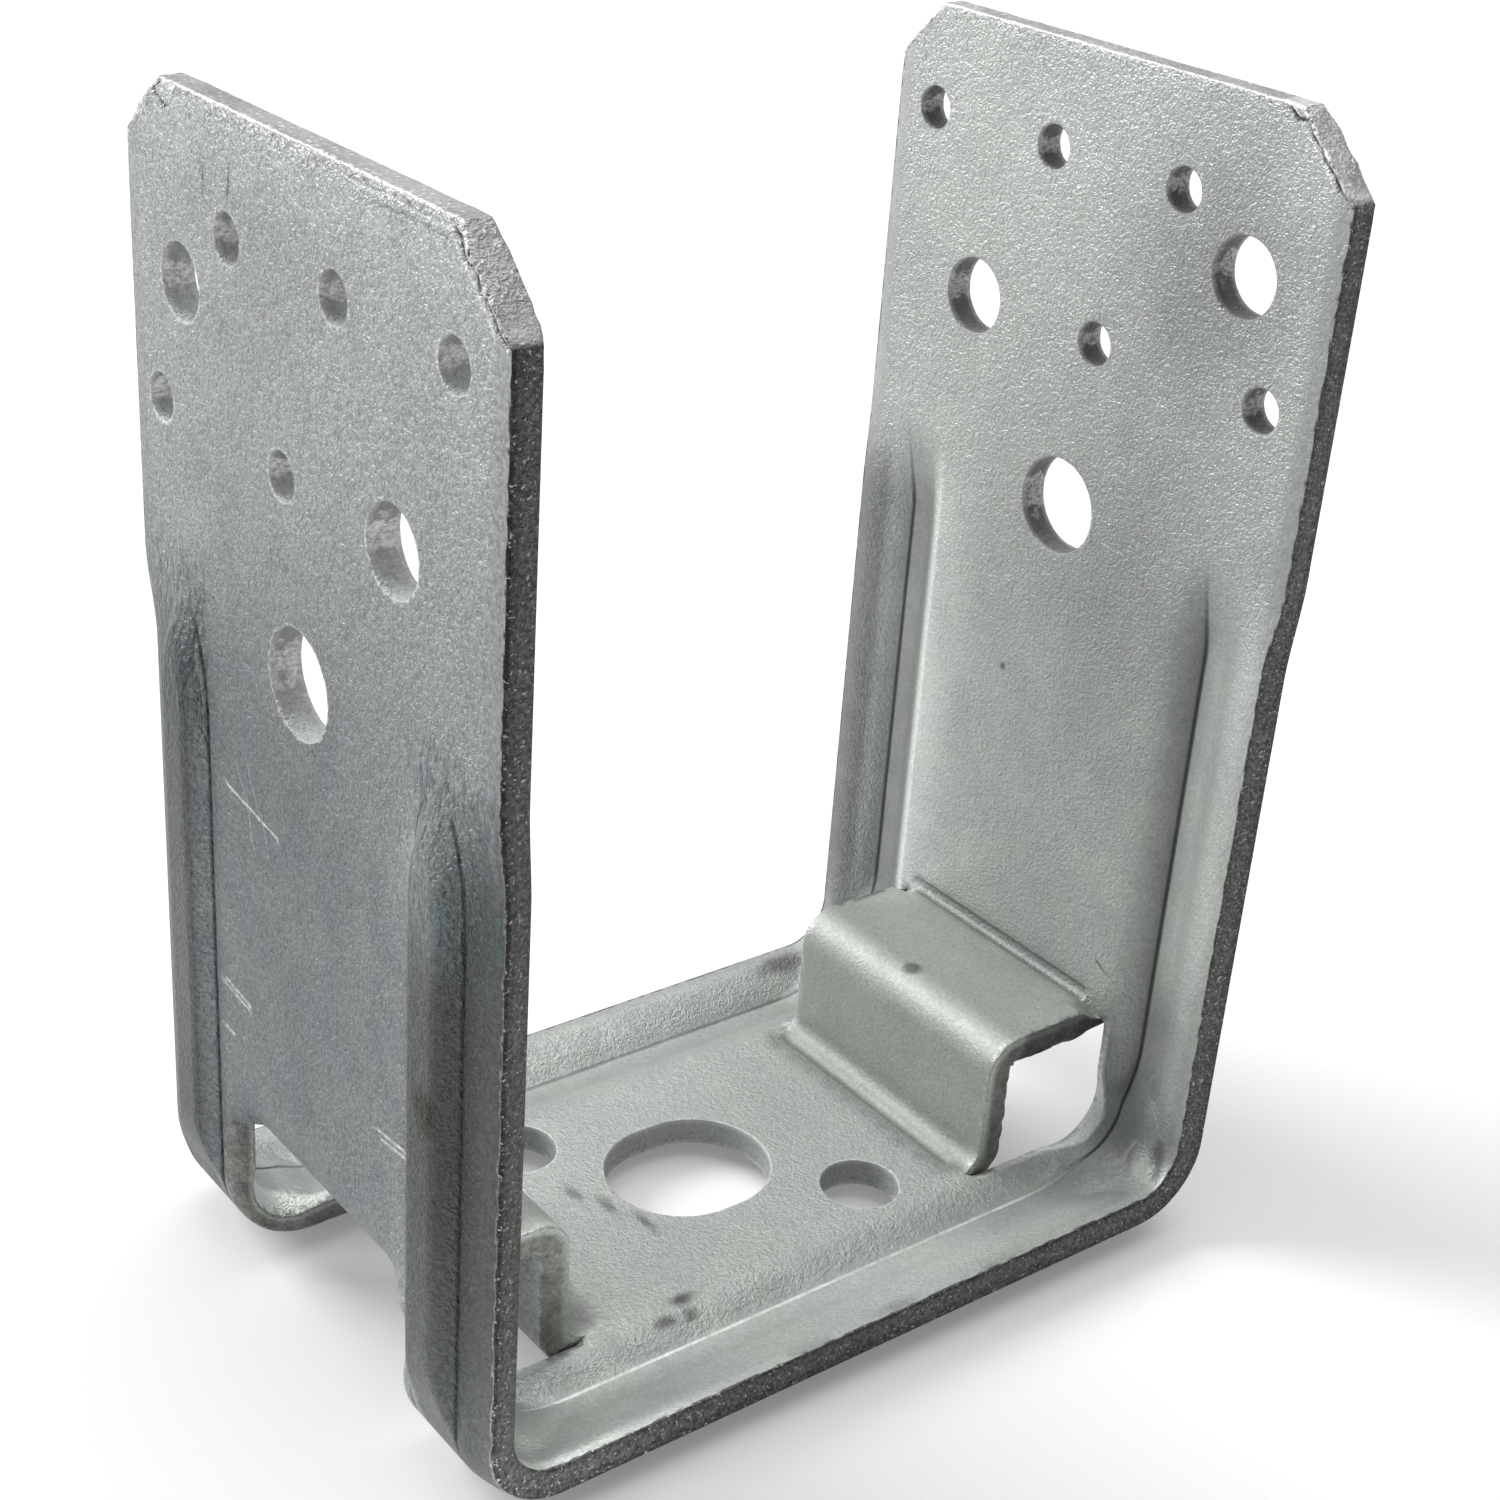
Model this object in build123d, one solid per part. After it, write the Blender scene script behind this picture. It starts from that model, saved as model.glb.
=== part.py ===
from build123d import *
import os

# Post base: one strip of galvanised steel, pressed, lanced and folded to a U.
# X runs across the post from flange to flange, Y along the strip's width, Z up.
# The origin is on the floor under the middle of the base.

# Sheet and fold
post_gap = 91.0          # clear width between the two flanges
sheet = 3.4              # thickness of the steel
strip_width = 66.4       # width of the strip, from edge to edge
flange_rise = 126.0      # top of a flange above the underside of the base
fold_radius = 9.5        # outside radius of the two bottom folds
corner_cut = 7.2         # size of the cut corners on top of the flanges
punch_shift = 0.75       # holes and corner cuts sit this far off the strip's middle

# Stiffening beads and turned-in rims along both long edges
bead_depth = 2.0         # the bead stands this far out of the sheet
slit_to_bead = 2.45      # from the slit of a seat to the foot of the bead beside it
bead_foot = 8.4          # width of the bead where it leaves the outer face
bead_crest = 4.6         # width of its flat crest
bead_round = 1.3         # rounding of the crest's two long corners
bead_bend = 19.0         # outside radius of the crest round a fold, where the bead flattens
groove_mouth = 9.9       # width of the bead's groove at the inner face
groove_floor = 2.7       # width of the groove's flat floor
bead_top = 76.0          # height above the base's underside where the beads die out
bead_runout = 8.0        # length over which they rise to full depth
rim_tilt = 12.0          # degrees, how far each rim leans in towards the post
rim_runout = 11.0        # length over which a rim takes up its lean

# Raised seats, lanced out of the two folds
seat_length = 34.6       # along the strip, from slit to slit
seat_rise = 19.7         # top of a seat above the underside of the base
seat_reach = 16.9        # from the flange's inner face to the seat's upright face
seat_nose = 4.2          # outside radius of the seat's front top fold
seat_root = 1.6          # inside radius where the seat leaves the flange
seat_shoulder = 8.0      # outside radius of the same fold, drawn thin in the press
seat_toe = 2.4           # inside radius where the upright face meets the base
seat_lap = 4.0           # how far the seat's strip runs on past its bends
slit_roll = 1.8          # radius of the rolled edge round each opening, on the outer face
web_radius = 4.0         # rounding in the two top corners of each opening
crease_radius = 0.9      # round groove pressed into both inside folds of a seat
crease_length = 29.6     # length of that groove

# Holes
nail_hole = 5.0
bolt_hole = 9.0
through_bolt_hole = 11.0
anchor_width = 17.0      # centre hole in the base, across
anchor_length = 19.6     # the same hole along X
side_hole_x = 14.75      # the two side holes lie on a diagonal of the base
side_hole_y = 13.1
first_row = 11.5         # from the top of a flange to its first row of holes
row_pitch = 19.0         # from the first row to the second, and to the lowest hole
nail_pitch = 19.1        # between the nail holes of the first row
nail_offset = 6.7        # the middle nail hole's distance from the punch axis
top_bolt_y = -21.9       # the bolt hole beside the first row, from the punch axis
top_bolt_drop = 6.5      # how far it lies below that row
second_row_y = (16.4, -2.9, -26.7)    # one bolt hole and two nail holes
through_bolt_y = -0.4
through_bolt_drop = 0.4  # how much further than one pitch it lies below the second row

# Cutting shapes run this far past the surfaces that they cut
clear = 1.0

# Two edges are taken as one place when they lie within this distance
near = 0.01

# Heights and positions that follow from the sizes above
underside = bead_depth
floor = underside + sheet
top = underside + flange_rise
half_gap = post_gap / 2
half_width = strip_width / 2
outer_face = half_gap + sheet
fold_x = outer_face - fold_radius
fold_z = underside + fold_radius
bead_middle = seat_length / 2 + slit_to_bead + bead_foot / 2
hinge = bead_middle + groove_mouth / 2
bead_end = underside + bead_top
bead_full = bead_end - bead_runout
rim_end = bead_full + rim_runout
seat_top = underside + seat_rise
seat_face = half_gap - seat_reach
shoulder = seat_top - sheet + seat_shoulder


def rim(tilt):
    """One rim of the strip in section, leaning in by an angle."""
    run = half_width - hinge
    rise = run * sin_deg(tilt) / cos_deg(tilt)
    inner = (half_width - sheet * sin_deg(tilt), rise)
    outer = (half_width, rise - sheet * cos_deg(tilt))
    return Polygon((hinge, 0), (hinge, -sheet), outer, inner, align=None)


def sin_deg(angle):
    return Vector(1, 0).rotate(Axis.Z, angle).Y


def cos_deg(angle):
    return Vector(1, 0).rotate(Axis.Z, angle).X


def bump():
    """The bead's outer shape in section, reaching back into the sheet."""
    low = -sheet - bead_depth
    foot = bead_foot / 2
    crest = bead_crest / 2
    outline = Polygon(
        (bead_middle - foot, -sheet / 2),
        (bead_middle - foot, -sheet),
        (bead_middle - crest, low),
        (bead_middle + crest, low),
        (bead_middle + foot, -sheet),
        (bead_middle + foot, -sheet / 2),
        align=None,
    )
    return fillet(outline.vertices().group_by(Axis.Y)[0], bead_round)


def groove(above):
    """The bead's groove in section, its slopes carried on above the inner face."""
    spread = (groove_mouth - groove_floor) / 2 / bead_depth * above
    return Polygon(
        (bead_middle - groove_floor / 2, -bead_depth),
        (bead_middle + groove_floor / 2, -bead_depth),
        (bead_middle + groove_mouth / 2 + spread, above),
        (bead_middle - groove_mouth / 2 - spread, above),
        align=None,
    )


def both(half):
    """A section together with its mirror image about the strip's middle."""
    return half + mirror(half, Plane.YZ)


def inside_bend(x, z, radius):
    """The space above a level and inside a wall, joined by a rounded corner."""
    outline = Polygon((0, z), (x, z), (x, bead_end), (0, bead_end), align=None)
    corner = outline.vertices().sort_by_distance((x, z))[0]
    return extrude(Plane.XZ * fillet(corner, radius), half_width, both=True)


def on_base(section, x):
    return Plane(origin=(x, 0, floor), x_dir=(0, 1, 0), z_dir=(1, 0, 0)) * section


def on_flange(section, z):
    return Plane(origin=(half_gap, 0, z), x_dir=(0, 1, 0), z_dir=(0, 0, 1)) * section


def along_side(section, x, z):
    """Carries a section from a place on the base round the fold and up the right flange."""
    base = extrude(on_base(section, x), fold_x - x, dir=(1, 0, 0))
    fold = revolve(on_base(section, fold_x), Axis((fold_x, 0, fold_z), (0, -1, 0)), 90)
    flange = extrude(on_flange(section, fold_z), z - fold_z, dir=(0, 0, 1))
    return base + fold + flange


def beaded_side():
    """Base, fold and lower flange. The beads flatten out where they pass round the fold."""
    core = Pos(0, -sheet / 2) * Rectangle(2 * hinge, sheet)
    body = along_side(core + both(rim(rim_tilt)), 0, bead_full)
    crests = along_side(both(bump()), 0, bead_full)
    grooves = along_side(both(groove(clear)), 0, bead_full)
    depth = bead_depth
    body += crests & inside_bend(outer_face + depth, underside - depth, bead_bend)
    return body - (grooves & inside_bend(half_gap + depth, floor - depth, bead_bend - sheet))


def upper_flange():
    """The right flange above its beads, with their run-outs and the cut top corners."""
    core = Box(sheet, 2 * hinge, rim_end - bead_full, align=(Align.MIN, Align.CENTER, Align.MIN))
    plate = Box(sheet, strip_width, top - rim_end, align=(Align.MIN, Align.CENTER, Align.MIN))
    body = Pos(half_gap, 0, bead_full) * core + Pos(half_gap, 0, rim_end) * plate
    lean = loft([on_flange(rim(rim_tilt), bead_full).face(), on_flange(rim(0), rim_end).face()], ruled=True)
    body += lean + mirror(lean, Plane.XZ)
    ramp = Plane.XZ * Polygon(
        (half_gap + sheet / 2, bead_full),
        (outer_face + bead_depth, bead_full),
        (outer_face, bead_end),
        (half_gap + sheet / 2, bead_end),
        align=None,
    )
    ramp = extrude(ramp, half_width, both=True)
    crest = extrude(on_flange(both(bump()), bead_full), bead_runout, dir=(0, 0, 1)) & ramp
    rise = Vector(-bead_depth, 0, bead_runout)
    for face in on_flange(both(groove(bead_depth + clear)), bead_full).faces():
        body -= Solid.extrude(face, rise)
        crest -= Solid.extrude(face, rise)
    body += crest
    for side in (-1, 1):
        corner_y = side * half_width
        across = half_width - side * punch_shift - (half_width - corner_cut)
        cut = Plane.YZ * Polygon(
            (corner_y, top - across),
            (corner_y + side * clear, top - across),
            (corner_y + side * clear, top + clear),
            (corner_y - side * across, top + clear),
            (corner_y - side * across, top),
            align=None,
        )
        body -= extrude(cut, outer_face + clear, dir=(1, 0, 0))
    return body


def opening():
    """The space between the two slits, from the base round the fold to the seat's shoulder."""
    deep = sheet + 2 * clear
    low = shoulder - web_radius
    strip = Pos(0, -sheet / 2) * Rectangle(seat_length, deep)
    tool = along_side(strip, seat_face - seat_toe - clear, low)
    head = Pos(0, low) * Rectangle(seat_length, 2 * web_radius)
    head = fillet(head.vertices().group_by(Axis.Y)[-1], web_radius)
    return tool + Pos(half_gap - clear, 0, 0) * extrude(Plane.YZ * head, deep, dir=(1, 0, 0))


def lanced_side():
    """Base, fold and flange with the opening, whose outer edge the press rolled over."""
    body = beaded_side() + upper_flange() - opening()
    rolled = body.edges().filter_by_position(Axis.X, outer_face - near, outer_face + near)
    rolled = rolled.filter_by_position(Axis.Y, -seat_length / 2 - near, seat_length / 2 + near)
    rolled = rolled.filter_by_position(Axis.Z, fold_z, shoulder + near)
    return fillet(rolled, slit_roll)


def seat():
    """The strip's middle between the slits, folded in to a flat seat and back to the base."""
    under = seat_top - sheet
    high = shoulder + seat_lap
    back = seat_face - seat_toe - seat_lap
    outline = Polygon(
        (half_gap, high),
        (half_gap, seat_top),
        (seat_face, seat_top),
        (seat_face, floor),
        (back, floor),
        (back, underside),
        (seat_face + sheet, underside),
        (seat_face + sheet, under),
        (outer_face, under),
        (outer_face, high),
        align=None,
    )
    bends = [
        (half_gap, seat_top, seat_root),
        (seat_face, seat_top, seat_nose),
        (seat_face, floor, seat_toe),
        (seat_face + sheet, underside, seat_toe + sheet),
        (seat_face + sheet, under, seat_nose - sheet),
        (outer_face, under, seat_shoulder),
    ]
    for x, z, radius in bends:
        corner = outline.vertices().sort_by_distance((x, z))[0]
        outline = fillet(corner, radius)
    body = extrude(Plane.XZ * outline, seat_length / 2, both=True)
    creases = [
        (half_gap - crease_radius * 0.6, seat_top + crease_radius * 0.6),
        (seat_face - seat_toe, floor + crease_radius * 0.5),
    ]
    for x, z in creases:
        straight = Rot(90, 0, 0) * Cylinder(crease_radius, crease_length)
        body -= Pos(x, punch_shift, z) * straight
        for end in (-1, 1):
            body -= Pos(x, punch_shift + end * crease_length / 2, z) * Sphere(crease_radius)
    return body


def flange_holes():
    """Centres and sizes of the holes in the right flange, as (y, z, diameter)."""
    first = top - first_row
    second = first - row_pitch
    holes = [(nail_offset + k * nail_pitch, first, nail_hole) for k in (-1, 0, 1)]
    holes += [(y, second, size) for y, size in zip(second_row_y, (bolt_hole, nail_hole, nail_hole))]
    holes += [
        (top_bolt_y, first - top_bolt_drop, bolt_hole),
        (through_bolt_y, second - row_pitch - through_bolt_drop, through_bolt_hole),
    ]
    return holes


def post_base():
    """The whole strap. The holes of one flange are those of the other, turned half way round."""
    right = lanced_side() + seat()
    body = right + mirror(right, Plane.YZ)
    for y, z, size in flange_holes():
        drill = Rot(0, 90, 0) * Cylinder(size / 2, 4 * sheet)
        body -= Pos(half_gap, punch_shift + y, z) * drill
        body -= Pos(-half_gap, punch_shift - y, z) * drill
    anchor = Pos(0, punch_shift, floor) * SlotOverall(anchor_length, anchor_width)
    body -= extrude(anchor, 2 * sheet, both=True)
    for turn in (-1, 1):
        drill = Cylinder(bolt_hole / 2, 4 * sheet)
        body -= Pos(turn * side_hole_x, punch_shift - turn * side_hole_y, floor) * drill
    return body


os.makedirs("parts", exist_ok=True)
export_step(post_base(), "parts/post_base.step")
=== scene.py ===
import math

import bmesh
import bpy
import numpy as np
from mathutils import Matrix, Vector, geometry, noise

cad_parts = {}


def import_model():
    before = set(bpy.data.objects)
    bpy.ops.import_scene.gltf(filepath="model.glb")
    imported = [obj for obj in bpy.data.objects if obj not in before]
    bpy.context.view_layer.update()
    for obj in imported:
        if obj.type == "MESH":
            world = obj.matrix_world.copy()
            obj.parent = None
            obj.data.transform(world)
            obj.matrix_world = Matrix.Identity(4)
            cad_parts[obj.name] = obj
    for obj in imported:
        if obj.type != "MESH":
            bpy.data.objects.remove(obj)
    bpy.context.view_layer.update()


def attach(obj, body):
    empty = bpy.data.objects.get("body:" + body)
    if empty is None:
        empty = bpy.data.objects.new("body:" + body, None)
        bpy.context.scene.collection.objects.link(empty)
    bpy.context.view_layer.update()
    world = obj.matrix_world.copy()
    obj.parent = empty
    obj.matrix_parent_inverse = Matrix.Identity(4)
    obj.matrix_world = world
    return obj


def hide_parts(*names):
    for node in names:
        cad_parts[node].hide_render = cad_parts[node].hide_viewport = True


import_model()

MM = 0.001

# The strip's sizes in mm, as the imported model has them. The strip is described flat: s runs
# along it from the middle of the base, y across it, and n from its inner face outwards.
HALF_GAP = 45.5          # inner face of a flange
SHEET = 3.4
FLOOR = 5.4              # inner face of the base
TOP = 128.0
HALF_WIDTH = 33.2
CORNER_CUT = 7.2
PUNCH_Y = 0.75           # axis of the holes and corner cuts
FOLD_X = 39.4            # axis of a fold
FOLD_Z = 11.5
FOLD_INNER = HALF_GAP - FOLD_X
TURN = FOLD_INNER * math.pi / 2
LENGTH = FOLD_X + TURN + TOP - FOLD_Z
FAR = 99.0               # more than any distance that matters

# Beads and rims
BEAD_Y = 23.95           # middle of a bead
BEAD_DEPTH = 2.0
BEAD_FOOT = 4.2          # half widths on the outer face
BEAD_CREST = 2.3
GROOVE_MOUTH = 4.95      # half widths on the inner face
GROOVE_FLOOR = 1.35
BEAD_FADE = 68.0         # height where the beads begin to die out
BEAD_END = 78.5
BEND_RADIUS = 19.0       # the crest's outside radius round a fold
BEND_X = HALF_GAP + SHEET + BEAD_DEPTH - BEND_RADIUS
BEND_Z = BEND_RADIUS
HINGE_Y = 28.9           # where a rim begins to lean in
RIM_LEAN = math.radians(12)
RIM_FADE = 70.0
RIM_END = 81.0

# Rounding where one surface of the strip runs into the next
CREST_ROUND = 0.7
FOOT_ROUND = 0.06
FADING_FOOT_ROUND = 1.2  # added where the bead dies out
GROOVE_ROUND = 0.9
SHARP_CORNER = 0.12      # the one sharp corner of each groove's floor
BEND_ROUND = 0.5
HINGE_ROUND = 0.5
SEAM_WIDTH = 0.15        # fine line pressed in along each bead's foot
SEAM_DEPTH = 0.1

# The crest of the near bead is worn flat on the left flange, most at this height
WORN_HEIGHT = 4.0
WORN_REACH = 9.0
WORN_SHARE = 0.5

# The faces drop away towards the strip's long edges and its two ends
EDGE_REACH = 2.4
INNER_EDGE_DROP = 0.35
OUTER_EDGE_DROP = 0.15
END_REACH = 2.8
INNER_END_DROP = 0.15
OUTER_END_DROP = 0.5
DROP_CURVE = 1.5

# Ragged lip along the corner cuts
LIP = 0.35
LIP_WIDTH = 0.9
LIP_GRAIN = 0.9

# Seats
SEAT_HALF = 17.3         # from the strip's middle to a slit
SEAT_FACE = 28.6
SEAT_TOP = 21.7
SEAT_NOSE = 4.2
SEAT_ROOT = 1.6
SEAT_TOE = 2.4
SHOULDER_RADIUS = 8.0
SHOULDER_X = HALF_GAP + SHEET - SHOULDER_RADIUS
SHOULDER_Z = SEAT_TOP - SHEET + SHOULDER_RADIUS
LAST_Q = 4.9999          # just short of the shoulder's upper end
SLIT_START = SEAT_FACE - SEAT_TOE
SLIT_ANGLE = math.radians(42)  # how far round the shoulder a slit reaches
SLIT_END = FOLD_X + TURN + SHOULDER_Z - SHOULDER_RADIUS * math.cos(SLIT_ANGLE) - FOLD_Z
WEB = 3.3                # width and length of the stretched steel at a slit's upper end
WEB_LENGTH = 2.4
SEAT_COLUMNS = 45
BEVEL_WIDTH = 1.6        # beside the slits, on the inner face
BEVEL_EXTRA = 2.0
BEVEL_SLOPE = 0.45

# Creases in a seat's inside folds, at its head and at its foot, measured in crease radii:
# from the steel to the crease's axis, and how far round the axis the steel is painted darker as shade
CREASE_RADIUS = 0.9
CREASE_HALF = 14.8
HEAD_CREASE, HEAD_SHADE = 0.76, 1.7
FOOT_CREASE, FOOT_SHADE = 0.72, 3.6

# Roundings where the steel is cut, and the distance of the points that guard their shading
RIM_ROUNDING = 0.35
HOLE_ROUNDING = 0.12
SEAT_ROUNDING = 0.4
INNER_SLIT_ROUNDING = 0.3
OUTER_SLIT_ROUNDING = 0.4
SLIT_ROLL = 1.4          # added on a flange's outer face, where the edge is rolled over
GUARD = 0.25

# How deep the cut steel is torn
LEAST_TEAR = 0.04
CORNER_TEAR = 0.16
SIDE_SPARED = 0.14       # less along the long edges
END_SPARED = 0.1         # less at the ends
SLIT_TEAR = 0.1          # added towards the outer face
SEAT_TEAR = 0.42

# Holes, a little narrower than punched because of their zinc: diameters, and places on the
# right flange
NAIL_HOLE = 4.75
NAIL_PITCH = 19.1
NAIL_ROW_Y = 6.7
FIRST_ROW = TOP - 11.5
SECOND_ROW = FIRST_ROW - 19.0
SECOND_ROW_NAILS = (-2.9, -26.7)
BOLT_HOLE, BOLT_Y = 8.5, 16.4
TOP_BOLT_HOLE, TOP_BOLT_Y = 8.4, -21.9
TOP_BOLT = FIRST_ROW - 6.5
THROUGH_HOLE, THROUGH_Y = 10.9, -0.4
THROUGH_BOLT = SECOND_ROW - 19.4
CLOGGED = 0.95           # more zinc in the left flange's top bolt hole

# Holes of the base
ANCHOR_RADIUS = 8.5
ANCHOR_STRAIGHT = 1.3    # half length of its straight part
SIDE_HOLE_X = 14.75
SIDE_HOLE_Y = 13.1
SIDE_HOLE_RADIUS = 4.5


def up(height):
    """Place along the flat strip of a height on a flange."""
    return FOLD_X + TURN + height - FOLD_Z


# Scratches and stamped lines as (flange, points, depth, brightness). The points are (height, y)
# on the left flange's outer face, -1, and on the right one's inner face, 1, and (x, y) on the
# base, 0.
STROKES = [
    (-1, [(61.0, 16.2), (59.7, 5.6)], 0.07, 1.0),
    (-1, [(64.1, 14.1), (60.7, 11.7), (57.3, 11.3), (55.7, 10.3)], 0.05, 0.35),
    (-1, [(65.5, 11.7), (63.3, 11.0), (58.7, 8.3), (56.7, 7.8)], 0.05, 0.35),
    (-1, [(37.7, 17.6), (37.1, 12.3)], 0.05, 1.0),
    (-1, [(37.0, 17.8), (36.5, 12.6)], 0.04, 0.8),
    (-1, [(37.5, -13.5), (38.0, -18.2)], 0.08, 1.0),
    (-1, [(36.8, -13.9), (37.3, -18.4)], 0.06, 0.9),
    (-1, [(31.6, 17.2), (31.6, 16.2)], 0.05, 0.9),
    (-1, [(121.9, 17.3), (119.3, 17.5)], 0.06, -0.8),
    (-1, [(123.5, 12.2), (120.5, 12.6)], 0.06, -0.8),
    (-1, [(127.4, 26.4), (127.0, 27.3), (126.3, 26.7), (125.7, 24.7)], 0.25, -1.0),
    (-1, [(127.0, -24.4), (126.6, -25.6), (125.1, -26.4), (124.6, -28.1), (123.2, -28.7), (122.2, -30.5),
          (121.0, -31.2), (120.1, -32.5)], 0.25, -1.0),
    (-1, [(126.0, -25.0), (124.0, -27.4), (122.0, -29.4), (120.4, -30.9)], 0.0, 0.8),
    (-1, [(127.1, -24.0), (126.8, -19.5), (127.2, -15.0), (126.9, -10.0), (127.2, -5.0)], 0.12, 0.6),
    (-1, [(126.2, -23.5), (126.4, -18.0), (126.1, -12.0)], 0.08, -0.5),
    (1, [(102.8, -8.2), (101.9, -9.9)], 0.05, 0.6),
    (1, [(102.3, -8.0), (101.5, -9.6)], 0.05, 0.5),
    (1, [(88.8, -2.5), (87.5, -5.6)], 0.04, 0.5),
    (1, [(102.0, -12.2), (100.6, -13.1)], 0.04, -0.4),
    (1, [(27.0, -15.4), (26.2, -16.9)], 0.08, -0.9),
    (0, [(43.1, -26.4), (44.6, -26.0), (45.8, -26.2)], 0.1, 0.8),
    (0, [(-14.9, 5.2), (-13.2, 2.0), (-11.8, -0.7), (-10.4, -4.6), (-9.0, -7.5)], 0.0, -0.4),
    (1, [(127.4, -23.6), (126.6, -24.6), (126.7, -26.0), (125.4, -26.9), (124.4, -28.4), (123.4, -28.8),
         (122.5, -30.3), (121.2, -31.1), (120.5, -32.5)], 0.25, -1.0),
    (1, [(126.1, -25.4), (124.3, -27.6), (122.2, -29.6), (120.9, -30.6)], 0.0, 0.7),
]
STROKE_WIDTH = 0.24
STROKE_SPACING = 0.35    # between the points that guard a stroke

# The crumpled place of the near rim in the right fold: a hollow with a ridge beside it
WRINKLE_AT = (FOLD_X + 0.45 * TURN, -30.6)
WRINKLE_RUN = (0.8, 0.6)  # direction along it
WRINKLE_LENGTH = 3.2
HOLLOW_DEPTH, HOLLOW_WIDTH = 0.45, 1.1
RIDGE_HEIGHT, RIDGE_WIDTH, RIDGE_AWAY = 0.3, 1.3, 2.2

# Stains, and one spot of painted shade beside the wrinkle in the right fold, as (centre, half sizes,
# darkness), in mm
DARK_SPOTS = [
    ((-14.5, -17.8, FLOOR), (2.6, 1.1, 1.5), 0.95),
    ((-14.8, -20.0, FLOOR), (1.3, 1.1, 1.5), 0.8),
    ((-17.6, -19.8, FLOOR), (2.0, 1.4, 1.5), 1.0),
    ((-13.9, 3.3, FLOOR), (0.8, 2.4, 1.5), 0.55),
    ((-12.0, -0.6, FLOOR), (0.9, 2.6, 1.5), 0.6),
    ((-10.1, -5.0, FLOOR), (0.8, 3.0, 1.5), 0.65),
    ((-38.5, 29.0, FLOOR), (4.0, 2.0, 2.5), 0.3),
    ((36.0, 30.0, FLOOR), (4.0, 1.6, 2.2), 0.7),
    # Painted shade beside the crumpled rim in the right fold
    ((44.9, -29.5, 8.9), (1.8, 1.2, 2.0), 0.5),
    ((HALF_GAP, 5.5, 56.3), (1.0, 0.6, 0.6), 0.8),
    ((32.1, 1.0, SEAT_TOP), (1.1, 1.1, 1.5), 0.75),
    ((3.4, -31.6, 4.0), (4.0, 1.2, 3.0), 0.6),
    ((-8.5, -31.8, 4.0), (3.2, 1.0, 3.0), 0.5),
    ((17.5, -32.0, 4.0), (5.5, 1.2, 3.0), 0.6),
]
RUST = ((-HALF_GAP - SHEET - BEAD_DEPTH, -25.1, 47.0), (2.0, 1.8, 3.0), 1.0)

# Duller and brighter places, partly uneven tone and partly painted light and shade, such as the painted
# highlight below the left flange's top edge, as (on the inner face 0, the outer 1 or both 2, s, y, reach
# along, reach across, factor)
TONE_AND_LIGHT_PATCHES = [
    (0, up(75), -12.0, 26.0, 11.0, 0.8),
    (0, up(108), -18.0, 14.0, 12.0, 0.66),
    (0, up(50), -30.0, 40.0, 3.0, 0.94),
    (0, up(62), 0.0, 36.0, 22.0, 0.79),
    (0, 26.0, -14.0, 16.0, 14.0, 0.98),
    (0, up(4), -25.0, 12.0, 8.0, 0.93),
    (1, -up(124.5), 4.0, 2.4, 26.0, 1.14),
    (1, -up(76), 0.0, 18.0, 28.0, 0.88),
    (1, -up(118), 0.0, 14.0, 30.0, 0.88),
    (0, 0.0, -27.0, 46.0, 6.0, 1.2),
    (1, -up(50), 0.0, 26.0, 16.0, 0.86),
    (1, -up(10), -26.0, 16.0, 8.0, 2.0),
    (1, -up(45), -31.5, 30.0, 3.0, 1.3),
    (1, -up(40), 24.0, 34.0, 6.0, 1.45),
    (1, -up(69), -24.0, 6.5, 5.0, 2.3),
    (0, -4.0, -13.0, 18.0, 9.0, 0.94),
    (2, -up(2), -33.0, 16.0, 1.5, 1.9),
    (2, -46.0, -17.0, 18.0, 1.5, 1.5),
]

# Painted shade and light in stripes along the far groove of a flange as (change, where it comes and
# where it goes, from the groove's middle)
GROOVE_LIGHT_STRIPES = [
    (-0.34, (-3.4, -2.8), (1.2, 1.5)),
    (0.3, (-14.0, -GROOVE_MOUTH), (-GROOVE_MOUTH, -4.6)),
    (0.6, (-GROOVE_MOUTH - 0.5, -GROOVE_MOUTH + 0.3), (-4.2, -3.2)),
]
# Painted shade on the grooves' slopes and the far rim, painted light on the near rim
NEAR_SLOPE_SHADE, FAR_SLOPE_SHADE = 0.6, 0.25
NEAR_RIM_LIGHT, FAR_RIM_SHADE = 0.2, 0.42
NEAR_CUT_BRIGHT = 0.55
# Painted reflection on the bevels beside the slits
BEVEL_PAINTED_REFLECTION = 0.8

# Camera, read from the photograph
CAMERA_AT = Vector((-148.9, -186.5, 180.7)) * MM
CAMERA_BACK = Vector((-0.54435, -0.70456, 0.45528))
CAMERA_RIGHT = Vector((0.80698, -0.58803, 0.05487))
FOCAL_PX = 2554.9
CENTRE_PX = (683.9, 753.6)
IMAGE_PX = 1500.0

# Studio
WINDOW = Vector((-0.1, 0.7, 0.6))  # towards the window
ROOM_SPAN = (-0.4, 0.9)  # cosines to the window, where the room is darkest and lightest
ROOM_LIGHT = (0.08, 0.6)
STUDIO_RADIUS = 6.0      # of the floor, in metres
FLOOR_COLOUR = (0.8, 0.8, 0.8)
FLOOR_GLOW = 0.2
WHITE = (1, 1, 1)

# Colours of the zinc, and of the steel where it was cut, in pairs where two are mixed
INNER_ZINC = ((0.51, 0.53, 0.505), (0.485, 0.51, 0.5))
OUTER_ZINC = ((0.245, 0.262, 0.252), (0.228, 0.244, 0.254))
# Painted light: the faces grow paler towards the top
PAINTED_UPPER_LIGHT = (0.6, 0.62, 0.6)
OUTER_BEAD_DARK = (0.085, 0.091, 0.09)
# Painted shade in the groove floors
GROOVE_FLOOR_SHADE = (0.36, 0.38, 0.36)
SEAT_ZINC = (0.41, 0.43, 0.4)
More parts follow.
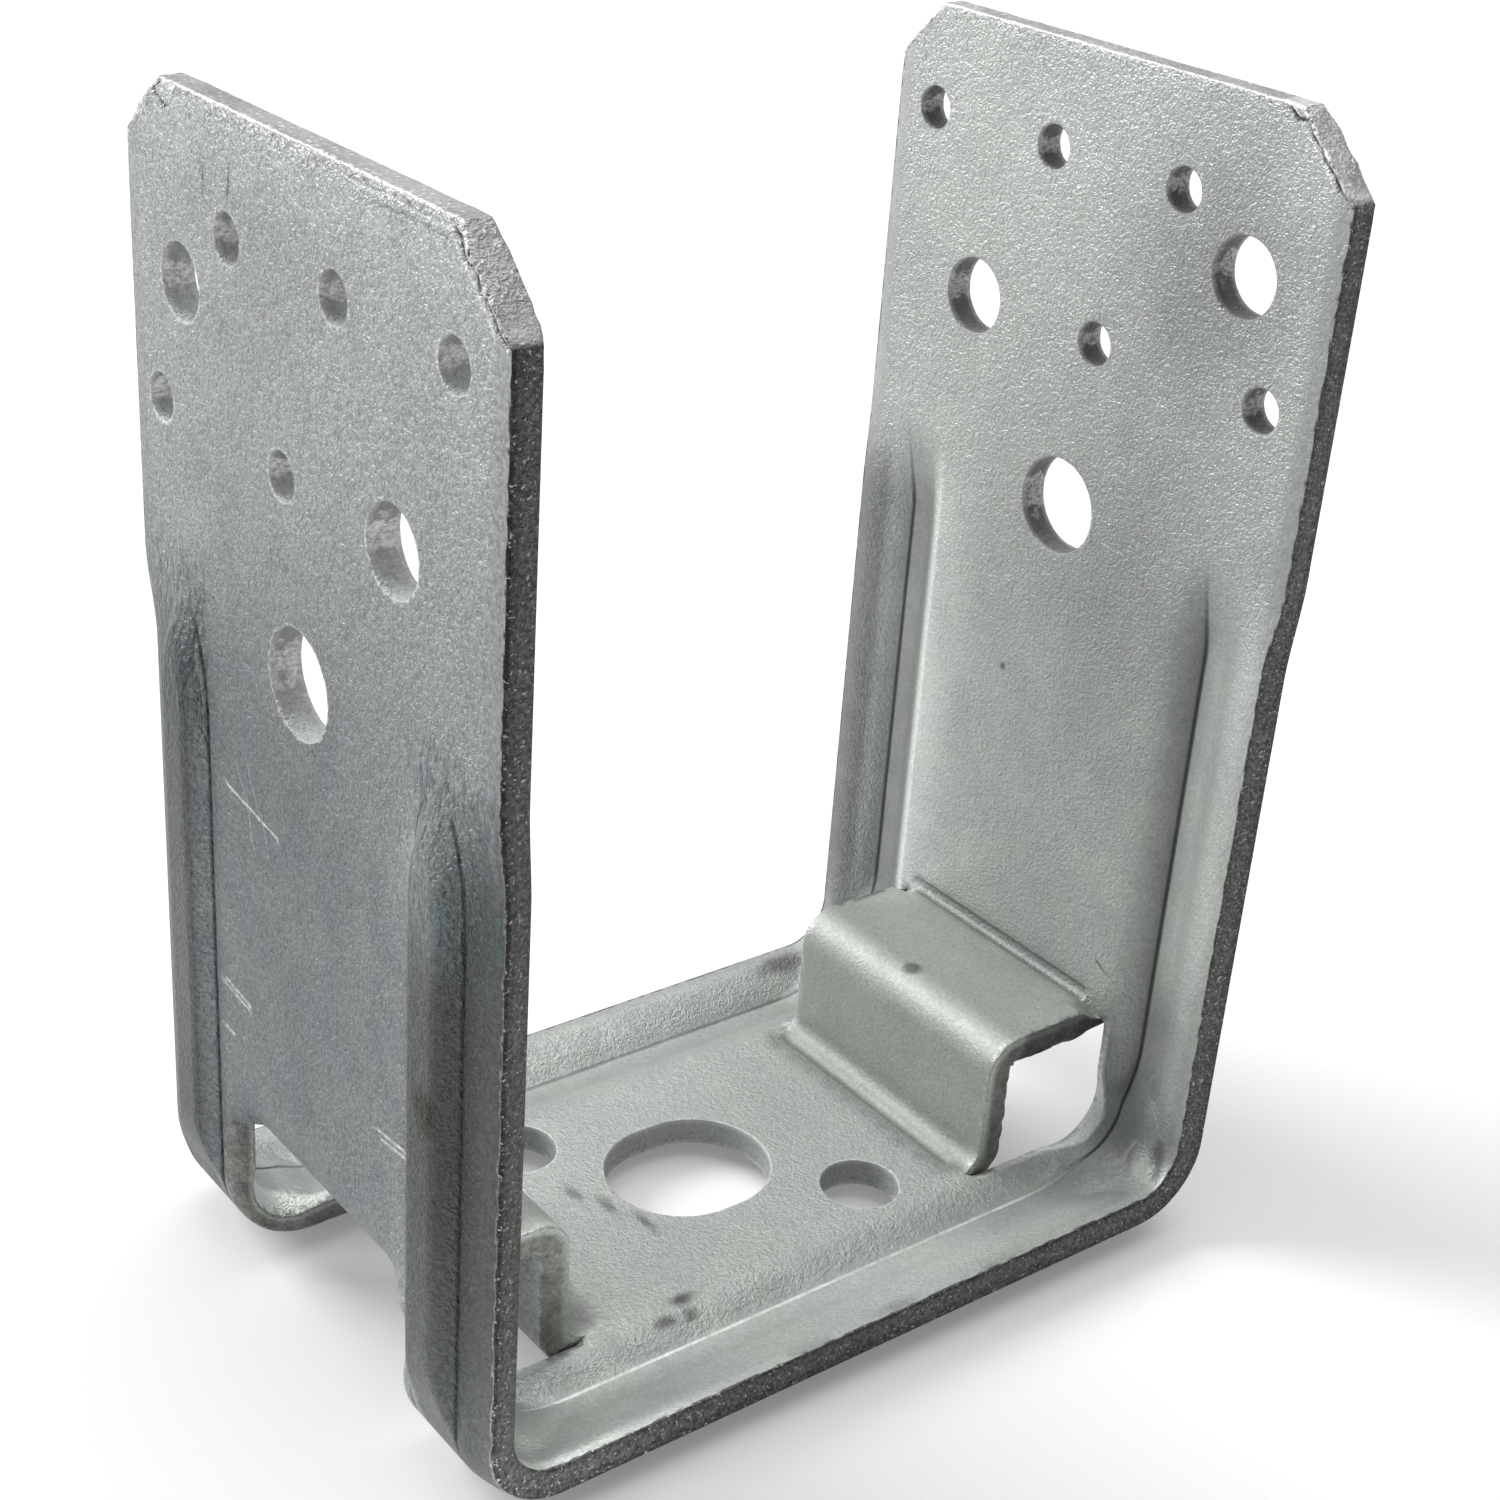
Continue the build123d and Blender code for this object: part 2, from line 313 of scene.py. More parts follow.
# Painted shade round the seats' creases
CREASE_SHADE = (0.27, 0.28, 0.265)
DOME_STAIN = (0.09, 0.12, 0.125)
RAW_STEEL = ((0.06, 0.06, 0.058), (0.115, 0.116, 0.112))
# Painted shadow along the cut's outer edge
RAW_EDGE_SHADOW = (0.02, 0.02, 0.02)
# Painted glints on the cut steel
CUT_GLINT = (0.36, 0.36, 0.345)
END_ZINC = ((0.42, 0.42, 0.41), (0.56, 0.57, 0.56))
END_GRAIN = (0.85, 0.86, 0.85)
# Painted shade and light on the holes' walls
HOLE_WALL_SHADE_TO_LIGHT = ((0.24, 0.25, 0.24), (0.46, 0.48, 0.46))
LIT_WALL = ((1.0, 1.0, 0.98), (0.7, 0.71, 0.7))
BASE_HOLE_WALL = (0.4, 0.42, 0.4)
# Painted highlight round the holes' edges
HOLE_RIM_HIGHLIGHT = (0.75, 0.77, 0.75)
TORN_STEEL = ((0.2, 0.205, 0.19), (0.29, 0.3, 0.28))
TORN_EDGE = (0.5, 0.52, 0.49)
# Painted shade in the beads' foot seams and at the grooves' corners, painted highlight on the base
FOOT_SHADE_LINE = (0.035, 0.04, 0.04)
CORNER_SHADE_LINE = (0.05, 0.055, 0.05)
CORNER_HIGHLIGHT = (0.9, 0.92, 0.9)
PALE_BURR = (0.75, 0.75, 0.72)
DARK_BURR = (0.06, 0.06, 0.055)
PALE_SCRATCH = (0.8, 0.81, 0.8)
DARK_SCRATCH = (0.07, 0.07, 0.065)
RUST_BROWN = (0.03, 0.026, 0.01)
DARK_SPOT_COLOUR = (0.1, 0.1, 0.095)
RELIEF = 0.45            # height of the zinc's grain, in mm


def step(low, high, value):
    """0 up to a low value, 1 from a high one, and a smooth rise between them."""
    t = np.clip((value - low) / (high - low), 0, 1)
    return t * t * (3 - 2 * t)


def between(comes, goes, value):
    """1 from where it has come to where it begins to go, and 0 outside both spans."""
    return step(*comes, value) * (1 - step(*goes, value))


def soft_min(a, b, width):
    """The smaller of two values, the change from one to the other rounded off."""
    h = np.clip(0.5 + 0.5 * (b - a) / width, 0, 1)
    return b + (a - b) * h - width * h * (1 - h)


def soft_max(a, b, width):
    """The larger of two values, the change rounded off."""
    return -soft_min(-a, -b, width)


# From the flat strip to the folded one

def height_of(s):
    """Height on the flange of a place on the flat strip; below the fold's end it stays there."""
    return FOLD_Z + np.maximum(np.abs(s) - FOLD_X - TURN, 0)


def fold_up(s, y, n):
    """Carries points of the flat strip round the folds."""
    run = np.abs(s)
    angle = np.clip((run - FOLD_X) / FOLD_INNER, 0, math.pi / 2)
    x = np.minimum(run, FOLD_X) + (FOLD_INNER + n) * np.sin(angle)
    z = height_of(s) - (FOLD_INNER + n) * np.cos(angle)
    return np.stack([np.where(s < 0, -x, x), y, z], 1)


def bend_room(s, radius):
    """How far out of the inner face the wide bend of a bead lies, where it rounds a fold."""
    inner = np.abs(fold_up(s, s * 0, s * 0))
    outer = np.abs(fold_up(s, s * 0, s * 0 + 1))
    away = outer - inner
    wx = inner[:, 0] - BEND_X
    wz = inner[:, 2] - BEND_Z
    along = wx * away[:, 0] + wz * away[:, 2]
    reach = along ** 2 - wx ** 2 - wz ** 2 + radius ** 2
    room = np.sqrt(np.maximum(reach, 0)) - along
    return np.where((inner[:, 0] > BEND_X) & (inner[:, 2] < BEND_Z), room, FAR)


def bead_distance(s, y, width):
    """Distance from a bead's middle line, drawn together where the bead dies out."""
    fade = np.maximum(height_of(s) - BEAD_FADE, 0) * width / (BEAD_END - BEAD_FADE)
    return np.hypot(np.abs(y) - BEAD_Y, fade)


def across_bead(y):
    """Place across a bead from its middle, positive on the far side of either bead."""
    return y - np.sign(y) * BEAD_Y


def crest(s, y):
    """Height of the beads on the outer face."""
    slope = (BEAD_FOOT - bead_distance(s, y, BEAD_FOOT)) * BEAD_DEPTH / (BEAD_FOOT - BEAD_CREST)
    rise = soft_min(slope, BEAD_DEPTH, CREST_ROUND)
    fade = step(BEAD_FADE - 4, BEAD_END, height_of(s))
    room = soft_max(bend_room(s, BEND_RADIUS) - SHEET, 0.0, BEND_ROUND)
    allowed = room + BEAD_DEPTH * (room > FAR / 2)
    worn_here = np.exp(-((s + up(WORN_HEIGHT)) / WORN_REACH) ** 2)
    flattened = 1 - WORN_SHARE * worn_here * (y < 0)
    return flattened * np.minimum(soft_max(rise, 0.0, FOOT_ROUND + FADING_FOOT_ROUND * fade), allowed)


def groove(s, y):
    """Depth of the beads' grooves in the inner face: rounded, but for one corner of the floor."""
    distance = bead_distance(s, y, GROOVE_MOUTH)
    slope = (GROOVE_MOUTH - distance) * BEAD_DEPTH / (GROOVE_MOUTH - GROOVE_FLOOR)
    sink = soft_min(slope, BEAD_DEPTH, np.where(across_bead(y) > 0, SHARP_CORNER, GROOVE_ROUND))
    room = soft_max(bend_room(s, BEND_RADIUS - SHEET), 0.0, BEND_ROUND)
    return np.minimum(soft_max(sink, 0.0, GROOVE_ROUND), room)


def seam(s, y):
    """1 along the lines where a bead's foot meets the sheet, 0 where the bead dies out."""
    away = np.abs(np.abs(np.abs(y) - BEAD_Y) - BEAD_FOOT)
    line = 1 - np.clip(away / SEAM_WIDTH, 0, 1)
    return line * (1 - step(BEAD_FADE - 3, BEAD_FADE + 6, height_of(s)))


def line_distance(s, y, line):
    """Distance of flat points from a line through several points."""
    nearest = np.full(len(s), FAR)
    for (s0, y0), (s1, y1) in zip(line, line[1:]):
        ds, dy = s1 - s0, y1 - y0
        along = np.clip(((s - s0) * ds + (y - y0) * dy) / (ds * ds + dy * dy), 0, 1)
        nearest = np.minimum(nearest, np.hypot(s - s0 - along * ds, y - y0 - along * dy))
    return nearest


def strokes(outside):
    """The strokes of one face as (points (s, y), depth, brightness)."""
    for flange, line, depth, tone in STROKES:
        if (flange < 0) == outside:
            yield [(flange * up(along) if flange else along, y) for along, y in line], depth, tone


def scratched(s, y, outside):
    """Depth and brightness that the strokes give to flat points of one face."""
    depth, tone = np.zeros(len(s)), np.zeros(len(s))
    for line, deep, bright in strokes(outside):
        mark = np.clip(1.2 - line_distance(s, y, line) / STROKE_WIDTH, 0, 1)
        depth = np.maximum(depth, mark * deep)
        tone = np.where(mark > np.abs(tone), mark * bright, tone)
    return depth, tone


def stroke_guards(outside):
    """Points close along both sides of every stroke on one face."""
    found = []
    for line, _, _ in strokes(outside):
        for start, end in zip(line, line[1:]):
            start, end = np.array(start), np.array(end)
            run = end - start
            length = np.linalg.norm(run)
            across = np.array((-run[1], run[0])) / length
            for k, gap in enumerate((-2.2, -1.1, -0.3, 0.3, 1.1, 2.2)):
                count = max(2, round(length / STROKE_SPACING))
                along = (np.arange(count) + 0.5 * (k % 2) + 0.1) / count
                found += [start + run * a + across * gap * STROKE_WIDTH for a in along]
    return np.array(found)


def burr(s, y):
    """Height of the ragged lip that the shears left along the corner cuts."""
    lip = np.zeros(len(s))
    near = np.abs(s) > LENGTH - CORNER_CUT - 1.5
    cut = near.copy()
    off_end = LENGTH - np.abs(s[near]) > 0.5
    off_side = HALF_WIDTH - np.abs(y[near]) > 0.5
    cut[near] = (edge_distance(s[near], y[near]) < LIP_WIDTH) & off_end & off_side
    if cut.any():
        fade = 1 - np.clip(edge_distance(s[cut], y[cut]) / LIP_WIDTH, 0, 1)
        lip[cut] = fade * rough(s[cut], y[cut], np.zeros(cut.sum()), LIP_GRAIN)
    return lip


def wrinkle(s, y):
    """Depth of the crumpled place of the near rim in the right fold."""
    ds, dy = s - WRINKLE_AT[0], y - WRINKLE_AT[1]
    along = ds * WRINKLE_RUN[0] + dy * WRINKLE_RUN[1]
    across = dy * WRINKLE_RUN[0] - ds * WRINKLE_RUN[1]
    ends = (along / WRINKLE_LENGTH) ** 2
    hollow = HOLLOW_DEPTH * np.exp(-(across / HOLLOW_WIDTH) ** 2 - ends)
    ridge = RIDGE_HEIGHT * np.exp(-((across - RIDGE_AWAY) / RIDGE_WIDTH) ** 2 - ends)
    return hollow - ridge


def slit_bevel(s, y):
    """Depth of the bevel that was pressed along the slits on the inner face, wider in the fold."""
    run = np.abs(s)
    there = between((SLIT_START, SLIT_START + 1.5), (SLIT_END - 1.0, SLIT_END), run)
    folded = between((FOLD_X - 2, FOLD_X + 4), (FOLD_X + TURN - 4, FOLD_X + TURN + 2), run)
    beside = np.abs(y) - SEAT_HALF
    width = np.clip(BEVEL_WIDTH + BEVEL_EXTRA * folded - beside, 0, None)
    return there * width * BEVEL_SLOPE * (beside > -0.01)


def strip_point(s, y, f):
    """A point of the pressed strip; f runs from 0 on the inner face to 1 on the outer."""
    lean = (1 - step(RIM_FADE, RIM_END, height_of(s))) * RIM_LEAN
    beyond = soft_max(np.abs(y) - HINGE_Y, 0.0, HINGE_ROUND)
    rolled = step(HALF_WIDTH - EDGE_REACH, HALF_WIDTH, np.abs(y)) ** DROP_CURVE
    ended = step(LENGTH - END_REACH, LENGTH, np.abs(s)) ** DROP_CURVE
    inner = groove(s, y) - beyond * np.tan(lean) + INNER_EDGE_DROP * rolled + INNER_END_DROP * ended
    inner += wrinkle(s, y)
    outer = SHEET + crest(s, y) - beyond * np.tan(lean)
    outer = outer - OUTER_EDGE_DROP * rolled - OUTER_END_DROP * ended
    outer -= SEAM_DEPTH * seam(s, y)
    lip = LIP * burr(s, y)
    inner += scratched(s, y, False)[0] - lip + slit_bevel(s, y)
    outer += lip - scratched(s, y, True)[0]
    slant = SHEET * np.sin(lean) * (1 - f) * beyond / (HALF_WIDTH - HINGE_Y)
    return fold_up(s, y - np.sign(y) * slant, inner + f * (outer - inner))


def seat_lines(q):
    """The seat's section: points (x, z) on its upper and lower line. q runs from 0 to 1 over the
    toe, to 2 up the face, to 3 over the nose, to 4 along the top and to 5 up the shoulder."""
    part = np.clip(np.floor(q), 0, 4)
    turn = (q - part) * math.pi / 2
    along = q - part
    sin, cos = np.sin(turn), np.cos(turn)
    toe = FLOOR + SEAT_TOE
    nose_x, nose_z = SEAT_FACE + SEAT_NOSE, SEAT_TOP - SEAT_NOSE
    tight = SEAT_NOSE - SHEET
    root = SHOULDER_Z - SEAT_TOP
    gap = root - SEAT_ROOT
    inside = gap * (sin + cos)
    arc = inside + np.sqrt(np.maximum(inside ** 2 - 2 * gap ** 2 + SEAT_ROOT ** 2, 0))
    edge = math.atan2(gap, root)
    flat = root / np.maximum(np.maximum(sin, cos), 1e-6)
    reach = np.where((turn > edge) & (turn < math.pi / 2 - edge), arc, flat)
    upper = [
        (SLIT_START + SEAT_TOE * sin, toe - SEAT_TOE * cos),
        (SEAT_FACE + 0 * along, toe + (nose_z - toe) * along),
        (nose_x - SEAT_NOSE * cos, nose_z + SEAT_NOSE * sin),
        (nose_x + (SHOULDER_X - nose_x) * along, SEAT_TOP + 0 * along),
        (SHOULDER_X + reach * sin, SHOULDER_Z - reach * cos),
    ]
    lower = [
        (SLIT_START + (SEAT_TOE + SHEET) * sin, toe - (SEAT_TOE + SHEET) * cos),
        (SEAT_FACE + SHEET + 0 * along, toe + (nose_z - toe) * along),
        (nose_x - tight * cos, nose_z + tight * sin),
        (nose_x + (SHOULDER_X - nose_x) * along, SEAT_TOP - SHEET + 0 * along),
        (SHOULDER_X + SHOULDER_RADIUS * sin, SHOULDER_Z - SHOULDER_RADIUS * cos),
    ]
    pick = [part == k for k in range(5)]
    sides = []
    for line in (upper, lower):
        sides.append(np.stack([np.select(pick, [end[axis] for end in line]) for axis in (0, 1)], 1))
    return sides


def seat_point(s, y, f, q):
    """A point of a seat; beside a slit's upper end it is still held by the strip."""
    upper, lower = seat_lines(q)
    section = upper + f[:, None] * (lower - upper)
    seat = np.stack([np.where(s < 0, -section[:, 0], section[:, 0]), y, section[:, 1]], 1)
    below = np.maximum(SLIT_END - np.abs(s), 0)
    beside = 1 - step(0, WEB, SEAT_HALF - np.abs(y))
    held = beside * (1 - step(0, WEB_LENGTH, below))
    return seat + held[:, None] * (strip_point(s, y, f) - seat)


def shoulder_q(s):
    """Place q on the shoulder at the height of a place on the flat strip."""
    rise = np.clip((SHOULDER_Z - height_of(s)) / SHOULDER_RADIUS, 0, 1)
    return 4 + np.arccos(rise) / (math.pi / 2)


def point(s, y, f):
    """A point of the strip, or of the shoulder that leads down from it to a seat."""
    place = strip_point(s, y, f)
    on_shoulder = (np.abs(s) >= SLIT_END - 1e-3) & (height_of(s) < SHOULDER_Z) & (np.abs(y) < SEAT_HALF)
    if on_shoulder.any():
        s, y, f = s[on_shoulder], y[on_shoulder], f[on_shoulder]
        place[on_shoulder] = seat_point(s, y, f, np.minimum(shoulder_q(s), LAST_Q))
    return place


# Outlines on the flat strip

def flange_holes():
    """Holes of the right flange as (y from the punch axis, height, diameter)."""
    first_row = [(NAIL_ROW_Y + k * NAIL_PITCH, FIRST_ROW, NAIL_HOLE) for k in (-1, 0, 1)]
    second_row = [(BOLT_Y, SECOND_ROW, BOLT_HOLE)]
    second_row += [(y, SECOND_ROW, NAIL_HOLE) for y in SECOND_ROW_NAILS]
    bolts = [(TOP_BOLT_Y, TOP_BOLT, TOP_BOLT_HOLE), (THROUGH_Y, THROUGH_BOLT, THROUGH_HOLE)]
    return first_row + second_row + bolts


def holes():
    """All holes as (s, y, radius, half length of the straight part)."""
    found = [(0.0, PUNCH_Y, ANCHOR_RADIUS, ANCHOR_STRAIGHT)]
    for end in (1, -1):
        found.append((end * SIDE_HOLE_X, PUNCH_Y - end * SIDE_HOLE_Y, SIDE_HOLE_RADIUS, 0.0))
    for y, z, size in flange_holes():
        clogged = CLOGGED if z == TOP_BOLT else 0.0
        found.append((up(z), PUNCH_Y + y, size / 2, 0.0))
        found.append((-up(z), PUNCH_Y - y, (size - clogged) / 2, 0.0))
    return found


def hole_loop(hole):
    """Outline of a hole, with the direction out of the steel at each point."""
    s, y, radius, half = hole
    count = 4 * round(2.2 * radius + 6)
    turn = np.arange(count) * 2 * math.pi / count + 1e-4
    towards = np.stack([np.cos(turn), np.sin(turn)], 1)
    middle = np.stack([s + half * np.sign(towards[:, 0]), np.full(count, y)], 1)
    return towards * radius + middle, -towards


def rim_corners():
    """The corners of the strip, whose ends both have their corners cut off."""
    corners = []
    for end in (-1, 1):
        for side in (-end, end):
            cut = HALF_WIDTH - side * PUNCH_Y - (HALF_WIDTH - CORNER_CUT)
            along = (end * (LENGTH - cut), side * HALF_WIDTH)
            across = (end * LENGTH, side * (HALF_WIDTH - cut))
            corners += [along, across] if side == -end else [across, along]
    return np.array(corners)


def rim_loop(spacing):
    """The strip's outline, evenly divided, with the direction out of the steel at each point."""
    corners = rim_corners()
    centre = corners.mean(0)
    following = np.roll(corners, -1, 0)
    edge = (following - corners) / np.linalg.norm(following - corners, axis=1)[:, None]
    normal = np.stack([edge[:, 1], -edge[:, 0]], 1)
    normal *= np.sign(((corners - centre) * normal).sum(1))[:, None]
    points, outs = [], []
    for k in range(len(corners)):
        before = normal[k - 1]
        count = max(2, round(np.linalg.norm(following[k] - corners[k]) / spacing))
        for i in range(count):
            points.append(corners[k] + (following[k] - corners[k]) * i / count)
            outs.append((before + normal[k]) / (1 + before @ normal[k]) if i == 0 else normal[k])
    return np.array(points), np.array(outs)


def rough(s, y, f, size=1.1):
    """Uneven wear between 0 and 1 at points of the cut steel, with grains about size mm wide."""
    spots = zip(s / size, y / size, 3.1 * f)
    return np.array([min(max(0.5 + 0.9 * noise.noise(spot), 0.0), 1.0) for spot in spots])


def rim_wear(s, y):
    """How deep the shears tore the strip's outline: most at the corner cuts."""
    on_side = step(0.0, 1.5, LENGTH - CORNER_CUT - 1 - np.abs(s))
    on_end = step(0.3, 1.0, np.abs(s) - LENGTH + 1.3)
    on_end = on_end * step(0, 1.5, HALF_WIDTH - CORNER_CUT - 1 - np.abs(y))
    return CORNER_TEAR - SIDE_SPARED * on_side - END_SPARED * on_end


def worn(loop, outs, inset, f, wear):
    """An outline moved into the steel by its inset and by uneven wear."""
    inset = inset + wear * rough(loop[:, 0], loop[:, 1], f)
    return loop - outs * inset[:, None]


def seat_wear(s, f):
    """The seats' ends are torn, most so towards their lower face."""
    return (LEAST_TEAR + SEAT_TEAR * f ** 2) * slit_taper(s)


def slit_wear(s, f):
    """The slits' sides are torn a little, more so towards the outer face."""
    return (LEAST_TEAR + SLIT_TEAR * f) * slit_taper(s)


def slit_taper(s):
    """1 along a slit, dropping to 0 at both its ends."""
    return step(0, 1.5, np.abs(s) - SLIT_START) * step(0, 2.5, SLIT_END - np.abs(s))


def slit_radius(s, outside):
    """Rounding of the edges beside a slit, rolled over on the flange's outer face."""
    if not outside:
        return INNER_SLIT_ROUNDING * slit_taper(s)
    on_flange = step(FOLD_X + 3, FOLD_X + TURN + 2, np.abs(s))
    return (OUTER_SLIT_ROUNDING + SLIT_ROLL * on_flange) * slit_taper(s)


def slit_run():
    """Places along a slit, away from the strip's middle."""
    return np.linspace(SLIT_START, SLIT_END, 61)


def slit_loop(run, side, end):
    """One side of a seat's place, with the direction out of the strip and into the seat."""
    loop = np.stack([run * side, np.full(len(run), end * SEAT_HALF)], 1)
    return loop, np.tile((0.0, -float(end)), (len(run), 1))


def opening_loop(side, outside):
    """Outline of the place of one seat in the flat strip."""
    run = slit_run()
    across = np.linspace(-SEAT_HALF, SEAT_HALF, SEAT_COLUMNS)
    reach = {}
    for end in (-1, 1):
        loop, outs = slit_loop(run, side, end)
        f = np.full(len(run), float(outside))
        reach[end] = worn(loop, outs, slit_radius(run, outside), f, slit_wear(run, f))[:, 1]
    start = np.stack([np.full(SEAT_COLUMNS, SLIT_START), across], 1)
    out = np.stack([run, reach[1]], 1)[1:-1]
    end = np.stack([np.full(SEAT_COLUMNS, SLIT_END), across[::-1]], 1)
    back = np.stack([run[::-1], reach[-1][::-1]], 1)[1:-1]
    return np.concatenate([start, out, end, back]) * (side, 1)


def hinge_guard(side):
    """Rows of points before a seat's toe and above its slits' ends, close enough for the
    creases pressed in there."""
    rows = [SLIT_START - gap for gap in (0.25, 0.5, 0.75, 1.0, 1.3)]
    rows += [SLIT_END + gap for gap in np.arange(0.16, 3.4, 0.16)]
    across = np.linspace(-SEAT_HALF, SEAT_HALF, SEAT_COLUMNS)[1:-1]
    return np.array([(side * s, y) for s in rows for y in across])


def bevel_guard(side, end):
    """Rows of points on both sides of the line where a slit's bevel begins."""
    run = slit_run()[2:-2:2]
    edge = SEAT_HALF + BEVEL_WIDTH
    return np.array([(side * s, end * (edge + gap)) for gap in (-0.15, 0.15) for s in run])


def edge_distance(s, y):
    """Distance inside the steel from the strip's outline and holes, seen flat."""
    inside = np.minimum(LENGTH - np.abs(s), HALF_WIDTH - np.abs(y))
    for end in (-1, 1):
        for side in (-1, 1):
            cut = CORNER_CUT - side * PUNCH_Y
            reach = LENGTH + HALF_WIDTH - cut - end * s - side * y
            inside = np.minimum(inside, reach / math.sqrt(2))
    for hs, hy, radius, half in holes():
        away = np.hypot(np.maximum(np.abs(s - hs) - half, 0), y - hy) - radius
        inside = np.minimum(inside, away)
    return inside


def opening_distance(s, y):
    """Distance from the places of the two seats, negative inside them."""
    middle = (SLIT_START + SLIT_END) / 2
    ds = np.abs(np.abs(s) - middle) - (SLIT_END - SLIT_START) / 2
    dy = np.abs(y) - SEAT_HALF
    return np.hypot(np.maximum(ds, 0), np.maximum(dy, 0)) + np.minimum(np.maximum(ds, dy), 0)


# The mesh

class Pieces:
    """Collects points and faces, with the flat place and kind of every point."""

    def __init__(self):
        self.points = []
        self.flat = []
        self.kind = []
        self.turn = []
        self.faces = []
        self.count = 0

    def add(self, points, s, y, f, kind, faces, turn=0.0):
        self.points.append(points)
        self.flat.append(np.stack([s, y, f], 1))
        self.kind.append(np.full(len(s), float(kind)))
        self.turn.append(turn + np.zeros(len(s)))
        self.faces += [tuple(int(i) + self.count for i in face) for face in faces]
        self.count += len(s)


# Kinds of surface: a face, the sheared outline, a hole's wall and torn steel
FACE, CUT, HOLE, TORN = 0, 1, 2, 3


def grid_faces(rows, columns, closed=False):
    """Faces between rows of points, joined round when closed."""
    faces = []
    for r in range(rows - 1):
        for c in range(columns if closed else columns - 1):
            d = (c + 1) % columns
            faces.append((r * columns + c, r * columns + d, (r + 1) * columns + d, (r + 1) * columns + c))
    return faces


def lattice(inner):
    """Points inside the strip, in lines along it that lie closer at its beads and edges, and
    apart from them the lines that lie on the beads' corners."""
    sharp = GROOVE_FLOOR if inner else BEAD_FOOT
    reach = (GROOVE_MOUTH if inner else BEAD_FOOT) + 1.0
    offsets = [o for o in np.arange(0, reach, 0.6) if abs(o - sharp) > 0.45]
    offsets += [sharp - 0.2, sharp, sharp + 0.2]
    beads = sorted({round(BEAD_Y + k * o, 3) for o in offsets for k in (-1, 1)})
    edges = [29.9, 30.5, 31.0, 31.4, 31.8, 32.2, 32.5]
    spacing = 1.7
    spans = [(0.6, 37.0, 1.25), (37.0, 51.0, 0.7), (51.0, 121.0, 1.1), (121.0, LENGTH, 1.6)]
    run = np.concatenate([np.arange(low, high, gap) for low, high, gap in spans])
    gap = np.diff(run, append=run[-1] + 1.6)
    points = []
    lines = []
    for k, y in enumerate(np.arange(-17.0, 17.1, spacing)):
        along = np.arange(-LENGTH + spacing / 2 * (k % 2), LENGTH, spacing)
        points.append(np.stack([along, np.full(len(along), y)], 1))
    for k, y in enumerate(beads + edges):
        along = run + 0.5 * gap * (k % 2)
        if y in beads:
            along = along[(height_of(along) < RIM_END) | (k % 3 == 0)]
        on_line = abs(abs(y - BEAD_Y) - sharp) < 0.21
        low = height_of(along) < BEAD_FADE + 6
        for side in (-1, 1):
            for end in (-1, 1):
                row = np.stack([along * end, np.full(len(along), y * side)], 1)
                if on_line:
                    lines.append(row[low])
                    row = row[~low]
                points.append(row)
    return np.concatenate(points), lines


def largest_part(faces, outline):
    """The triangles of the largest area that no outline crosses, which is the steel."""
    beside = {}
    for index, face in enumerate(faces):
        for a, b in zip(face, face[1:] + face[:1]):
            edge = (min(a, b), max(a, b))
            if edge not in outline:
                beside.setdefault(edge, []).append(index)
    touching = [[] for _ in faces]
    for pair in beside.values():
        if len(pair) == 2:
            touching[pair[0]].append(pair[1])
            touching[pair[1]].append(pair[0])
    seen = [False] * len(faces)
    best = []
    for first in range(len(faces)):
        if seen[first]:
            continue
        part, ahead = [], [first]
        seen[first] = True
        while ahead:
            index = ahead.pop()
            part.append(index)
            for other in touching[index]:
                if not seen[other]:
                    seen[other] = True
                    ahead.append(other)
        if len(part) > len(best):
            best = part
    return [faces[index] for index in best]


def strip_face(pieces, inner, loops, guards):
    """One face of the strip, triangulated between its outlines. The guards are points close
    beside them, which keep the shading of the rounded edges narrow."""
    corners, edges = [], []
    for loop in loops:
        first = len(corners)
        corners += [Vector(p) for p in loop]
        edges += [(first + i, first + (i + 1) % len(loop)) for i in range(len(loop))]
    corners += [Vector(p) for guard in guards for p in guard]
    outline_edges = len(edges)
    fill, corner_lines = lattice(inner)
    for line in corner_lines:
        first = len(corners)
        corners += [Vector(p) for p in line]
        edges += [(first + i, first + i + 1) for i in range(len(line) - 1)]
    s, y = fill.T
    rolled = (opening_distance(s, y) < 2.4) & (np.abs(s) > FOLD_X - 6) & (np.abs(y) > SEAT_HALF)
    clear = np.where(rolled, 0.7 if inner else 2.15, 0.6)
    clear_of_edges = edge_distance(s, y) > RIM_ROUNDING + GUARD + 0.25
    fill = fill[clear_of_edges & (opening_distance(s, y) > clear)]
    corners += [Vector(p) for p in fill]
    verts, lines, faces, _, sources, _ = geometry.delaunay_2d_cdt(corners, edges, [], 0, 1e-5)
    outline = set()
    for line, source in zip(lines, sources):
        if any(k < outline_edges for k in source):
            outline.add(tuple(sorted(line)))
    faces = largest_part(faces, outline)
    flat = np.array([tuple(v) for v in verts])
    f = np.full(len(flat), 0.0 if inner else 1.0)
    pieces.add(point(flat[:, 0], flat[:, 1], f), flat[:, 0], flat[:, 1], f, FACE, faces)


def wall_rows(r_inner, r_outer):
    """Insets from the edge and depths below the inner face, round from one face to the other."""
    turns = np.linspace(0, math.pi / 2, 5)
    rows = [(r_inner * (1 - math.sin(a)), r_inner * (1 - math.cos(a))) for a in turns]
    for k in range(1, 5):
        rows.append((0 * r_inner, r_inner + (SHEET - r_inner - r_outer) * k / 5))
    rows += [(r_outer * (1 - math.sin(a)), SHEET - r_outer * (1 - math.cos(a))) for a in turns[::-1]]
    return rows


